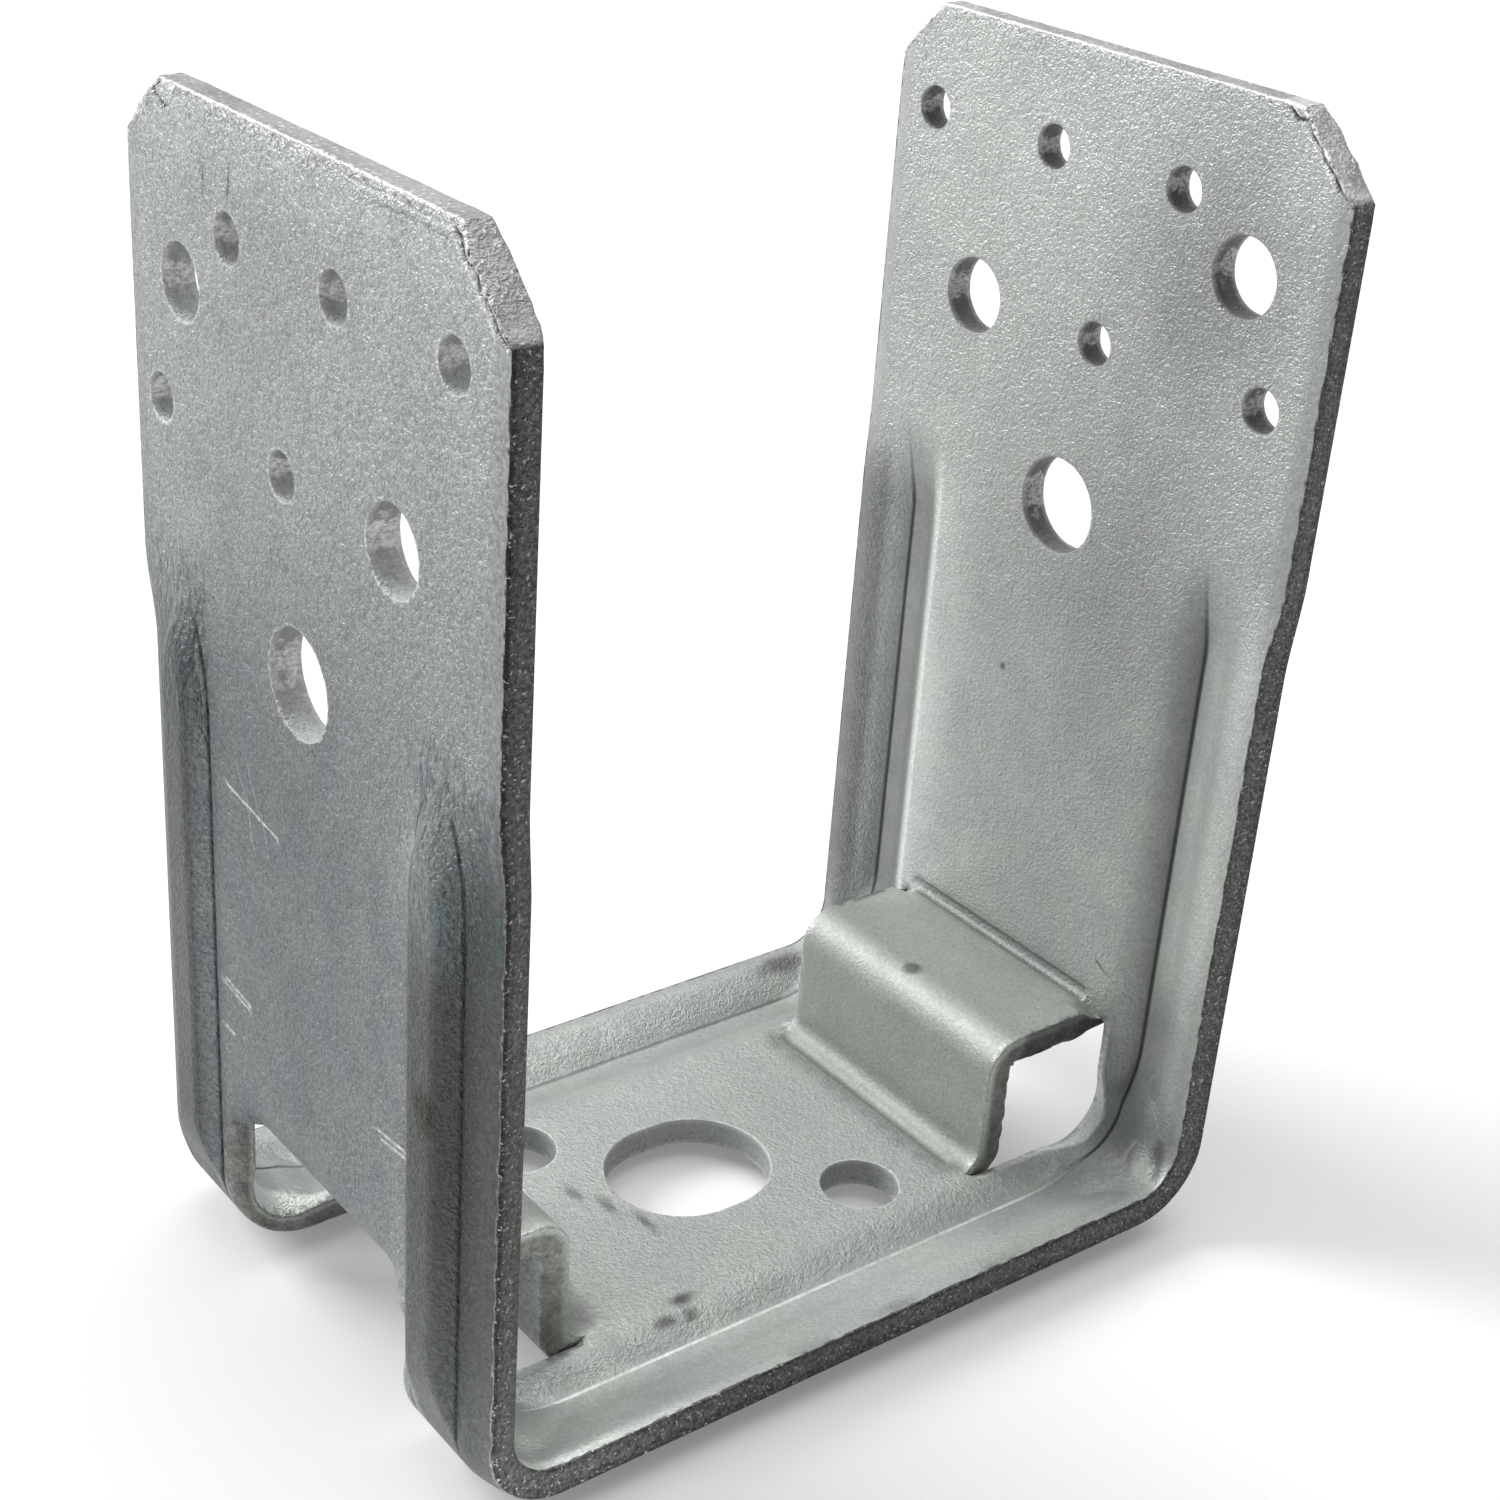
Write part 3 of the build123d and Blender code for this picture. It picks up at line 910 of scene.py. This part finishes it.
def wall(pieces, loop, outs, r_inner, r_outer, wear, kind, closed=True, q=None):
    """The cut steel between the two faces, along a loop or a slit. Where q is given, the wall
    is a seat's."""
    rows = wall_rows(r_inner, r_outer)
    levels = [depth / SHEET + 0 * loop[:, 0] for _, depth in rows]
    lines = []
    for (inset, _), f in zip(rows, levels):
        depth = wear(loop[:, 0], f) if callable(wear) else wear
        lines.append(worn(loop, outs, inset, f, depth))
    s, y = np.concatenate(lines).T
    f = np.concatenate(levels)
    place = point(s, y, f) if q is None else seat_point(s, y, f, np.tile(q, len(rows)))
    turn = np.tile(outs[:, 0] * np.sign(loop[:, 0] + 1e-9), len(rows))
    pieces.add(place, s, y, f, kind, grid_faces(len(rows), len(loop), closed), turn)


def seat_rows():
    """Rows of a seat from the base to the slits' upper ends, as (q, s)."""
    counts = [13, 12, 12, 12]
    q = [k + np.linspace(0, 1, count)[:-1] for k, count in enumerate(counts)]
    last = 4 + SLIT_ANGLE / (math.pi / 2)
    q = np.append(np.concatenate(q), np.linspace(4, last, 22))
    upper, _ = seat_lines(q)
    steps = np.linalg.norm(np.diff(upper, axis=0), axis=1)
    along = np.append(0, np.cumsum(steps))
    return q, SLIT_START + (SLIT_END - SLIT_START) * along / along[-1]


def add_seat(pieces, side):
    """Both faces of a seat and its two torn ends."""
    q, s = seat_rows()
    across = np.linspace(-1, 1, SEAT_COLUMNS)
    radius = SEAT_ROUNDING * slit_taper(s)
    ends = {}
    for end in (-1, 1):
        loop, into_seat = slit_loop(s, side, end)
        outs = -into_seat
        for f in (0.0, 1.0):
            ends[end, f] = worn(loop, outs, radius, np.full(len(s), f), seat_wear(s, f))[:, 1]
        wall(pieces, loop, outs, radius, radius, seat_wear, TORN, closed=False, q=q)
    for f in (0.0, 1.0):
        low, high = ends[-1, f][:, None], ends[1, f][:, None]
        y = (low + (high - low) * (across + 1) / 2).ravel()
        run = np.repeat(s * side, SEAT_COLUMNS)
        level = np.full(len(y), f)
        place = seat_point(run, y, level, np.repeat(q, SEAT_COLUMNS))
        pieces.add(place, run, y, level, FACE, grid_faces(len(q), SEAT_COLUMNS))


def paint(mesh, name, values):
    """Gives every point of the mesh a value that the material can read."""
    layer = mesh.attributes.new(name, "FLOAT", "POINT")
    layer.data.foreach_set("value", np.asarray(values, dtype=np.float32))


def press_creases(place, f):
    """Presses the round grooves into both inside folds of the seats, and tells how near each
    point lies to one."""
    touched = np.zeros(len(place))
    head, foot = HEAD_CREASE * CREASE_RADIUS, FOOT_CREASE * CREASE_RADIUS
    axes = [
        (HALF_GAP - head, SEAT_TOP + head, HEAD_SHADE),
        (SLIT_START, FLOOR + foot, FOOT_SHADE),
    ]
    for side in (-1, 1):
        for x, z, reach in axes:
            along = np.clip(place[:, 1] - PUNCH_Y, -CREASE_HALF, CREASE_HALF) + PUNCH_Y
            axis = np.stack([np.full(len(place), side * x), along, np.full(len(place), z)], 1)
            away = place - axis
            distance = np.linalg.norm(away, axis=1)
            sunk = (distance < CREASE_RADIUS) & (distance > 1e-6) & (f < 0.5)
            place[sunk] = axis[sunk] + away[sunk] * (CREASE_RADIUS / distance[sunk])[:, None]
            touched = np.maximum(touched, np.clip(reach - distance / CREASE_RADIUS, 0, 1) * (f < 0.5))
    return place, touched


def weld(mesh):
    """Joins the pieces' points where they meet, and turns every face into triangles."""
    bm = bmesh.new()
    bm.from_mesh(mesh)
    bmesh.ops.remove_doubles(bm, verts=bm.verts, dist=2e-6)
    bmesh.ops.dissolve_degenerate(bm, edges=bm.edges, dist=1e-6)
    loose = [v for v in bm.verts if not v.link_faces]
    bmesh.ops.delete(bm, geom=loose, context="VERTS")
    bmesh.ops.recalc_face_normals(bm, faces=bm.faces)
    bmesh.ops.triangulate(bm, faces=bm.faces)
    bm.to_mesh(mesh)
    bm.free()


def strap_mesh():
    """The whole strap: two faces, and all the cut steel between them."""
    pieces = Pieces()
    rim, rim_outs = rim_loop(0.9)
    outlines = [(rim, rim_outs, RIM_ROUNDING, rim_wear(*rim.T), CUT)]
    for loop, outs in map(hole_loop, holes()):
        outlines.append((loop, outs, HOLE_ROUNDING, np.full(len(loop), LEAST_TEAR), HOLE))
    for inner in (True, False):
        loops, guards = [], []
        for loop, outs, rounding, wear, _ in outlines:
            f = np.full(len(loop), 0.0 if inner else 1.0)
            loops.append(worn(loop, outs, rounding, f, wear))
            guards.append(worn(loop, outs, rounding + GUARD, f, wear))
        loops += [opening_loop(side, not inner) for side in (-1, 1)]
        guards.append(stroke_guards(not inner))
        if inner:
            guards += [hinge_guard(side) for side in (-1, 1)]
            guards += [bevel_guard(side, end) for side in (-1, 1) for end in (-1, 1)]
        strip_face(pieces, inner, loops, guards)
    for loop, outs, rounding, wear, kind in outlines:
        even = np.full(len(loop), rounding)
        wall(pieces, loop, outs, even, even, wear, kind)
    run = slit_run()
    for side in (-1, 1):
        for end in (-1, 1):
            loop, outs = slit_loop(run, side, end)
            radii = slit_radius(run, False), slit_radius(run, True)
            wall(pieces, loop, outs, *radii, slit_wear, TORN, closed=False)
        add_seat(pieces, side)
    mesh = bpy.data.meshes.new("strap")
    flat = np.concatenate(pieces.flat)
    places, touched = press_creases(np.concatenate(pieces.points), flat[:, 2])
    mesh.from_pydata(places * MM, [], pieces.faces)
    layer = mesh.attributes.new("flat", "FLOAT_VECTOR", "POINT")
    layer.data.foreach_set("vector", flat.astype(np.float32).ravel())
    paint(mesh, "kind", np.concatenate(pieces.kind))
    paint(mesh, "turn", np.concatenate(pieces.turn))
    paint(mesh, "crease", touched)
    weld(mesh)
    return mesh


strap = bpy.data.objects.new("strap", strap_mesh())
bpy.context.collection.objects.link(strap)


def flat_places(mesh):
    """The flat place (s, y, f) and the kind of every point."""
    flat = np.empty(len(mesh.vertices) * 3, dtype=np.float32)
    kind = np.empty(len(mesh.vertices), dtype=np.float32)
    mesh.attributes["flat"].data.foreach_get("vector", flat)
    mesh.attributes["kind"].data.foreach_get("value", kind)
    return flat.reshape(-1, 3).T.astype(float), np.round(kind)


def tone_and_light(s, y, f, kind):
    """How much brighter or duller than its surroundings each point is: uneven tone, and painted shade and
    light along the grooves and rims and on the slits' bevels.
    """
    inner_face = (1 - f) * (kind == FACE)
    across = across_bead(y)
    beaded = 1 - step(BEAD_FADE, BEAD_END + 3, height_of(s))
    upright = step(FOLD_X + 5, FOLD_X + TURN + 6, np.abs(s)) * beaded * inner_face
    tone = np.ones(len(s))
    for on_outside, s0, y0, reach_s, reach_y, factor in TONE_AND_LIGHT_PATCHES:
        near = np.exp(-((s - s0) / reach_s) ** 2 - ((y - y0) / reach_y) ** 2)
        tone *= 1 + (factor - 1) * near * (1 - f, f, 1)[on_outside]
    # Painted shade on the grooves' slopes
    slope = np.clip((GROOVE_MOUTH - across) / (GROOVE_MOUTH - GROOVE_FLOOR), 0, 1)
    slope = slope * step(GROOVE_FLOOR - 0.1, GROOVE_FLOOR + 0.2, across)
    tone *= 1 - np.where(y < 0, NEAR_SLOPE_SHADE, FAR_SLOPE_SHADE) * slope ** 1.2 * upright
    # Painted shade and light in stripes along the far groove and on the rims
    for change, comes, goes in GROOVE_LIGHT_STRIPES:
        tone *= 1 + change * upright * between(comes, goes, across) * (y > 0)
    tone *= 1 + NEAR_RIM_LIGHT * upright * step(BEAD_Y + 2.5, HINGE_Y, -y)
    tone *= 1 - FAR_RIM_SHADE * upright * step(BEAD_Y + 3.5, HINGE_Y, y)
    at_corner = np.abs(y) + np.abs(s) - LENGTH > HALF_WIDTH - 11
    near_cut = (kind == CUT) & (s > LENGTH - CORNER_CUT - 1) & (y < -0.5) & at_corner
    tone *= 1 + NEAR_CUT_BRIGHT * near_cut
    # Painted reflection on the slits' bevels
    return tone * (1 + BEVEL_PAINTED_REFLECTION * np.clip(slit_bevel(s, y) / 0.2, 0, 1) * inner_face)


def mark_strap(mesh):
    """Paints the kinds of surface that the material tells apart."""
    (s, y, f), kind = flat_places(mesh)
    band = np.abs(y)
    run = np.abs(s)
    height = height_of(s)
    across = across_bead(y)
    beaded = 1 - step(BEAD_FADE, BEAD_END + 3, height)
    bent = step(FOLD_X - 3, FOLD_X + 2, run)
    far_slope = step(0, 0.4, across) * (across < GROOVE_MOUTH) * (1 - f) * (kind == FACE) * beaded
    scratch = np.where(f > 0.5, scratched(s, y, True)[1], scratched(s, y, False)[1])
    beside_floor = step(GROOVE_FLOOR + 0.3, GROOVE_FLOOR + 1.6, np.abs(band - BEAD_Y))
    on_seat = (kind != TORN) & (band <= SEAT_HALF + 0.01) & (run > SLIT_START) & (run < SLIT_END)
    marks = {
        "scratch": scratch * (kind == FACE),
        "lip": np.clip(burr(s, y) * 2.5, 0, 1) * ((f > 0.93) | (f < 0.07)),
        # Mask of the painted highlight round the holes' edges
        "rim_highlight": (kind == HOLE) & ((f < 0.06) | (f > 0.94)),
        "tone_and_light": tone_and_light(s, y, f, kind),
        "across": across,
        # Masks of painted shade at the grooves' sharp corners, and of a painted highlight there on the
        # base
        "corner": far_slope * np.where(y < 0, bent, 0.6 + 0.4 * bent),
        "corner_highlight": far_slope * (1 - bent) * (y < 0),
        "foot": bead_distance(s, y, BEAD_FOOT),
        "plain": (kind == FACE) & (height < BEAD_FADE + 9),
        "dome": f * step(18.5, 20.5, band) * between((60, 68), (79, 86), height),
        "cut": kind == CUT,
        "side": (kind == CUT) & (run < LENGTH - CORNER_CUT - 0.4),
        "hole": kind == HOLE,
        "torn": kind == TORN,
        "outside": f,
        "outer_bead": f * step(BEAD_Y - 3.6, BEAD_Y - 2.2, band) * beaded,
        "sunk": (1 - f) * (1 - beside_floor) * beaded,
        "rolled": step(HALF_WIDTH - 2.7, HALF_WIDTH - 2.0, band),
        "seat": on_seat * (1 - f),
    }
    for name, values in marks.items():
        paint(mesh, name, values)


mark_strap(strap.data)
strap.data.shade_smooth()
strap.data.set_sharp_from_angle(angle=math.radians(26))


# Materials

class Graph:
    """A short way to write the node tree of a material or of the world."""

    def __init__(self, owner):
        owner.use_nodes = True
        self.owner = owner
        self.tree = owner.node_tree
        self.tree.nodes.clear()

    def node(self, kind, inputs=(), **settings):
        node = self.tree.nodes.new(kind)
        for key, value in settings.items():
            setattr(node, key, value)
        for key, value in dict(inputs).items():
            self.put(node, key, value)
        return node

    def put(self, node, key, value):
        socket = node.inputs[key]
        if isinstance(value, bpy.types.NodeSocket):
            self.tree.links.new(value, socket)
        else:
            socket.default_value = (*value, 1) if socket.type == "RGBA" else value

    def math(self, operation, a, b=0.0, clamp=False):
        node = self.node("ShaderNodeMath", {0: a, 1: b}, operation=operation, use_clamp=clamp)
        return node.outputs[0]

    def times(self, a, b):
        return self.math("MULTIPLY", a, b)

    def plus(self, a, b):
        return self.math("ADD", a, b)

    def spread(self, value, low, high, out_low=0.0, out_high=1.0, **settings):
        """Carries a value from one range to another, and holds it at both ends."""
        spans = {"From Min": low, "From Max": high, "To Min": out_low, "To Max": out_high}
        return self.node("ShaderNodeMapRange", {"Value": value, **spans}, **settings).outputs[0]

    def blend(self, factor, a, b):
        node = self.node("ShaderNodeMix", data_type="RGBA")
        self.put(node, 0, factor)
        self.put(node, 6, a)
        self.put(node, 7, b)
        return node.outputs[2]

    def number(self, factor, a, b):
        node = self.node("ShaderNodeMix", {0: factor, 2: a, 3: b}, data_type="FLOAT")
        return node.outputs[0]

    def noise(self, place, size, detail=2.0, rough=0.5, distortion=0.0):
        """Noise whose grains are about size mm across."""
        node = self.node("ShaderNodeTexNoise", {
            "Vector": place, "Scale": 1 / (size * MM), "Detail": detail,
            "Roughness": rough, "Distortion": distortion,
        })
        return node.outputs[0]

    def line(self, value, centre, half_width):
        """1 where a value passes its centre, 0 from half_width away."""
        away = self.math("ABSOLUTE", self.math("SUBTRACT", value, centre))
        return self.spread(away, half_width, half_width * 0.3)

    def scaled(self, colour, factor):
        node = self.node("ShaderNodeVectorMath", {0: colour}, operation="SCALE")
        self.put(node, "Scale", factor)
        return node.outputs[0]

    def stretched(self, place, factors):
        return self.node("ShaderNodeVectorMath", {0: place, 1: factors}, operation="MULTIPLY").outputs[0]

    def spot(self, place, centre, size, depth, uneven):
        """A soft spot with ragged edges, centre and size in mm."""
        centre = Vector(centre) * MM
        away = self.node("ShaderNodeVectorMath", {0: place, 1: centre}, operation="SUBTRACT").outputs[0]
        away = self.stretched(away, tuple(1 / (c * MM) for c in size))
        reach = self.node("ShaderNodeVectorMath", {0: away}, operation="LENGTH").outputs["Value"]
        reach = self.plus(reach, self.spread(uneven, 0.3, 0.7, -0.45, 0.45))
        return self.spread(reach, 1.15, 0.35, 0.0, depth)

    def finish(self, shader, kind="Material"):
        """Sends the shader to the output."""
        out = self.node("ShaderNodeOutput" + kind)
        self.tree.links.new(shader.outputs[0], out.inputs[0])
        return self.owner


class Zinc(Graph):
    """Hot-dipped zinc: the marks painted on the strap and the noises that its parts share."""

    def __init__(self):
        super().__init__(bpy.data.materials.new("galvanised_steel"))
        self.marks = {}
        self.place = self.node("ShaderNodeTexCoord").outputs["Object"]
        axes = self.node("ShaderNodeSeparateXYZ", {"Vector": self.place})
        self.x, self.height = axes.outputs["X"], axes.outputs["Z"]
        self.cloud = self.noise(self.place, 22, 3, 0.5)
        self.blotch = self.noise(self.place, 5, 4, 0.6)
        self.pebble = self.noise(self.place, 1.5, 3, 0.55)
        self.grain = self.noise(self.place, 0.46, 2, 0.6, 0.4)
        self.fine = self.noise(self.place, 0.22, 1, 0.5)
        self.ripple = self.noise(self.stretched(self.place, (1, 2.2, 0.8)), 1.6, 3, 0.6)

    def mark(self, name):
        """A value painted on the strap."""
        if name not in self.marks:
            node = self.node("ShaderNodeAttribute", attribute_name=name)
            self.marks[name] = node.outputs["Fac"]
        return self.marks[name]


def zinc_face(g):
    """The faces: pale inside, darker outside, darkest on the outer beads and rims, with painted light
    towards the top and painted shade in the groove floors and round the seats' creases.
    """
    tint = g.spread(g.noise(g.place, 8, 2, 0.5), 0.42, 0.58)
    face = g.blend(g.mark("outside"), g.blend(tint, *INNER_ZINC), g.blend(tint, *OUTER_ZINC))
    # Painted light: paler higher up the flanges
    face = g.blend(g.spread(g.height, 0.065, 0.128, 0.0, 0.6), face, PAINTED_UPPER_LIGHT)
    face = g.blend(g.mark("outer_bead"), face, OUTER_BEAD_DARK)
    # Painted shade in the groove floors and round the seats' creases; the seats are a duller zinc
    coats = (("sunk", 0.25, GROOVE_FLOOR_SHADE), ("seat", 0.7, SEAT_ZINC), ("crease", 0.75, CREASE_SHADE))
    for name, share, colour in coats:
        face = g.blend(g.times(g.mark(name), share), face, colour)
    face = g.blend(g.times(g.mark("rolled"), 0.35), face, g.scaled(face, 0.8))
    stained = g.times(g.mark("dome"), g.spread(g.ripple, 0.48, 0.56))
    return g.blend(g.times(stained, 0.55), face, DOME_STAIN)


def cut_steel(g):
    """The sheared outline: raw steel along the strip, zinc on its ends and corner cuts. The raw steel is
    darker towards the outer face, with a painted shadow along that edge and painted glints.
    """
    outside = g.mark("outside")
    raw = g.blend(g.spread(g.grain, 0.38, 0.62), *RAW_STEEL)
    raw = g.blend(g.spread(outside, 0.6, 0.7), raw, g.scaled(raw, 0.75))
    # Painted shadow along the cut's outer edge
    corner = g.times(g.spread(outside, 0.84, 0.94), g.spread(g.pebble, 0.35, 0.55, 0.3, 1.0))
    raw = g.blend(corner, raw, RAW_EDGE_SHADOW)
    # Painted glints
    raw = g.blend(g.spread(g.noise(g.place, 0.32, 1, 0.5), 0.64, 0.72), raw, CUT_GLINT)
    end = g.blend(g.spread(g.blotch, 0.35, 0.6), *END_ZINC)
    end = g.blend(g.spread(g.grain, 0.62, 0.68), end, END_GRAIN)
    return g.blend(g.mark("side"), end, raw)


def hole_wall(g):
    """The walls of the holes, coloured with painted light and shade: lighter where they face up, with
    painted streaks of light at their sides, and darker on the left flange.
    """
    turn = g.mark("turn")
    uneven = g.plus(turn, g.spread(g.pebble, 0.3, 0.7, -0.3, 0.3))
    streak = g.spread(g.noise(g.stretched(g.place, (1, 0.7, 2.0)), 0.6, 3, 0.7), 0.4, 0.56)
    lit = g.times(g.spread(uneven, -0.36, -0.2), g.spread(uneven, 0.46, 0.3))
    lit = g.times(lit, g.spread(streak, 0, 1, 0.25, 1.0))
    on_right = g.spread(g.x, -0.02, 0.02)
    wall = g.blend(g.spread(turn, -0.9, 0.9), *HOLE_WALL_SHADE_TO_LIGHT)
    # Painted shade: the walls on the left flange are darker than on the right
    wall = g.blend(on_right, g.scaled(wall, 1.25), g.scaled(wall, 0.42))
    wall = g.blend(lit, wall, g.blend(on_right, *LIT_WALL))
    return g.blend(g.spread(g.height, 0.006, 0.0055), wall, BASE_HOLE_WALL)


def torn_steel(g):
    """The torn ends of the seats and sides of the slits, paler near the inner face, with painted shade on
    their upper part on the right flange.
    """
    torn = g.blend(g.spread(g.pebble, 0.4, 0.6), *TORN_STEEL)
    torn = g.blend(g.spread(g.mark("outside"), 0.34, 0.1), torn, TORN_EDGE)
    # Painted shade on the torn ends' upper part on the right flange
    shaded = g.times(g.spread(g.height, 0.0165, 0.0185), g.spread(g.x, 0.033, 0.034))
    return g.blend(shaded, torn, g.scaled(torn, 0.45))


def press_lines(g, face):
    """Lines along the beads: a dark line painted as shade in each bead's foot seam on the outer face,
    painted shade at the sharp corner of each groove's floor, and a painted highlight on that corner of
    the base's near groove.
    """
    # A dark line painted as shade in each bead's foot seam
    foot = g.times(g.line(g.mark("foot"), BEAD_FOOT, 0.26), g.times(g.mark("plain"), g.mark("outside")))
    face = g.blend(g.times(foot, g.spread(g.pebble, 0.3, 0.6, 0.6, 0.95)), face, FOOT_SHADE_LINE)
    across, middle = g.mark("across"), GROOVE_FLOOR + 0.1
    # Painted shade at the grooves' sharp corners
    corner = g.times(g.line(across, middle, 0.34), g.mark("corner"))
    face = g.blend(g.times(corner, 0.85), face, CORNER_SHADE_LINE)
    # Painted highlight on that corner on the base
    highlighted = g.times(g.line(across, middle, 0.22), g.mark("corner_highlight"))
    return g.blend(g.times(highlighted, g.spread(g.blotch, 0.4, 0.6, 0.4, 1.0)), face, CORNER_HIGHLIGHT)


def wear_marks(g, face):
    """Burrs, scratches, rust, stains and a spot of painted shade, each over what came before it."""
    for low, high, colour in ((0.45, 0.6, PALE_BURR), (0.42, 0.35, DARK_BURR)):
        face = g.blend(g.times(g.mark("lip"), g.spread(g.grain, low, high)), face, colour)
    broken = g.spread(g.pebble, 0.3, 0.55, 0.3, 1.0)
    for low, high, colour in ((0.1, 0.9, PALE_SCRATCH), (-0.1, -0.9, DARK_SCRATCH)):
        face = g.blend(g.times(g.spread(g.mark("scratch"), low, high), broken), face, colour)
    for spot, colour in [(RUST, RUST_BROWN)] + [(dark_spot, DARK_SPOT_COLOUR) for dark_spot in DARK_SPOTS]:
        face = g.blend(g.spot(g.place, *spot, g.blotch), face, colour)
    return face


def unevenness(g):
    """The factor by which clouds, blotches, grain and the tone and light patches, partly painted light
    and shade, change the colour.
    """
    uneven = g.times(g.spread(g.cloud, 0.3, 0.7, 0.94, 1.05), g.spread(g.blotch, 0.3, 0.7, 1.05, 0.95))
    contrast = g.plus(g.times(g.mark("outside"), 0.16), 0.12)
    speckle = g.times(g.spread(g.grain, 0.3, 0.7, -1.0, 1.0), contrast)
    return g.times(g.times(uneven, g.plus(speckle, 1.0)), g.mark("tone_and_light"))


def relief(g):
    """The pebbled surface, softer where the press or the shears smoothed it."""
    rise = g.plus(g.grain, g.times(g.fine, 0.5))
    rise = g.plus(rise, g.times(g.pebble, 0.7))
    rise = g.plus(rise, g.times(g.times(g.mark("dome"), g.ripple), 3.0))
    strength = g.math("MAXIMUM", g.mark("outside"), g.spread(g.height, 0.03, 0.1, 0.4, 0.85))
    at_end = g.math("SUBTRACT", g.mark("cut"), g.mark("side"), clamp=True)
    smoothed = ((g.mark("sunk"), 0.35), (g.mark("rolled"), 0.6), (g.mark("seat"), 0.4), (at_end, 0.4))
    for mark, left in smoothed:
        strength = g.times(strength, g.spread(mark, 0, 1, 1.0, left))
    return g.node("ShaderNodeBump", {"Strength": strength, "Distance": RELIEF * MM, "Height": rise})


def zinc():
    """The strap's one material."""
    g = Zinc()
    face = g.blend(g.mark("cut"), zinc_face(g), cut_steel(g))
    face = g.blend(g.mark("hole"), face, hole_wall(g))
    # Painted highlight round the holes' edges
    face = g.blend(g.times(g.mark("rim_highlight"), 0.6), face, HOLE_RIM_HIGHLIGHT)
    face = g.blend(g.mark("torn"), face, torn_steel(g))
    face = wear_marks(g, press_lines(g, face))
    rough = g.number(g.mark("outer_bead"), g.spread(g.blotch, 0.3, 0.7, 0.4, 0.52), 0.38)
    rough = g.number(g.math("MAXIMUM", g.mark("seat"), g.mark("crease")), rough, 0.62)
    shader = g.node("ShaderNodeBsdfPrincipled", {
        "Base Color": g.scaled(face, unevenness(g)),
        "Metallic": g.spread(g.mark("hole"), 0, 1, 0.75, 0.1),
        "Roughness": rough,
        "Normal": relief(g).outputs[0],
    })
    return g.finish(shader)


strap.data.materials.append(zinc())
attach(strap, "root")
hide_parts("post_base")


# Studio

def floor_material():
    """A white floor that looks white and still takes the strap's shadow."""
    g = Graph(bpy.data.materials.new("studio_floor"))
    path = g.node("ShaderNodeLightPath")
    seen = g.math("MAXIMUM", path.outputs["Is Camera Ray"], path.outputs["Is Glossy Ray"])
    seen = g.math("MAXIMUM", seen, path.outputs["Is Transmission Ray"])
    glow = g.node("ShaderNodeEmission", {"Color": WHITE, "Strength": g.times(seen, FLOOR_GLOW)})
    matt = g.node("ShaderNodeBsdfDiffuse", {"Color": FLOOR_COLOUR})
    both = g.node("ShaderNodeAddShader", {0: glow.outputs[0], 1: matt.outputs[0]})
    return g.finish(both)


def studio_floor():
    """A round floor, a hair's breadth under the strap."""
    mesh = bpy.data.meshes.new("studio_floor")
    bm = bmesh.new()
    bmesh.ops.create_circle(bm, cap_ends=True, segments=64, radius=STUDIO_RADIUS)
    bm.to_mesh(mesh)
    bm.free()
    floor = bpy.data.objects.new("studio_floor", mesh)
    floor.location.z = -0.02 * MM
    mesh.materials.append(floor_material())
    bpy.context.collection.objects.link(floor)


def world():
    """A dim room, lighter on the side of the window behind the strap."""
    g = Graph(bpy.data.worlds.new("studio"))
    where = g.node("ShaderNodeTexCoord").outputs["Generated"]
    towards = g.node("ShaderNodeVectorMath", {0: where, 1: WINDOW.normalized()}, operation="DOT_PRODUCT")
    light = g.spread(towards.outputs["Value"], *ROOM_SPAN, *ROOM_LIGHT, interpolation_type="SMOOTHSTEP")
    path = g.node("ShaderNodeLightPath")
    white = g.math("MAXIMUM", light, path.outputs["Is Camera Ray"])
    background = g.node("ShaderNodeBackground", {"Color": WHITE, "Strength": white})
    bpy.context.scene.world = g.finish(background, "World")


def sun(name, coming_from, strength, spread):
    """A sun lamp; its spread is in degrees."""
    data = bpy.data.lights.new(name, "SUN")
    data.energy = strength
    data.angle = math.radians(spread)
    lamp = bpy.data.objects.new(name, data)
    lamp.rotation_euler = Vector(coming_from).to_track_quat("Z", "Y").to_euler()
    bpy.context.collection.objects.link(lamp)


def camera():
    """The camera that took the photograph."""
    data = bpy.data.cameras.new("camera")
    data.sensor_width = 36.0
    data.lens = FOCAL_PX / IMAGE_PX * data.sensor_width
    data.shift_x = 0.5 - CENTRE_PX[0] / IMAGE_PX
    data.shift_y = CENTRE_PX[1] / IMAGE_PX - 0.5
    data.clip_start = 0.01
    above = CAMERA_BACK.cross(CAMERA_RIGHT)
    turn = Matrix((CAMERA_RIGHT, above, CAMERA_BACK)).transposed()
    cam = bpy.data.objects.new("camera", data)
    cam.matrix_world = Matrix.Translation(CAMERA_AT) @ turn.to_4x4()
    bpy.context.collection.objects.link(cam)
    bpy.context.scene.camera = cam


studio_floor()
world()
sun("key", (-0.43, 0.68, 0.6), 2.4, 30)
sun("fill", (0.25, 0.1, 0.95), 1.1, 60)
camera()
bpy.context.scene.view_settings.view_transform = "Standard"
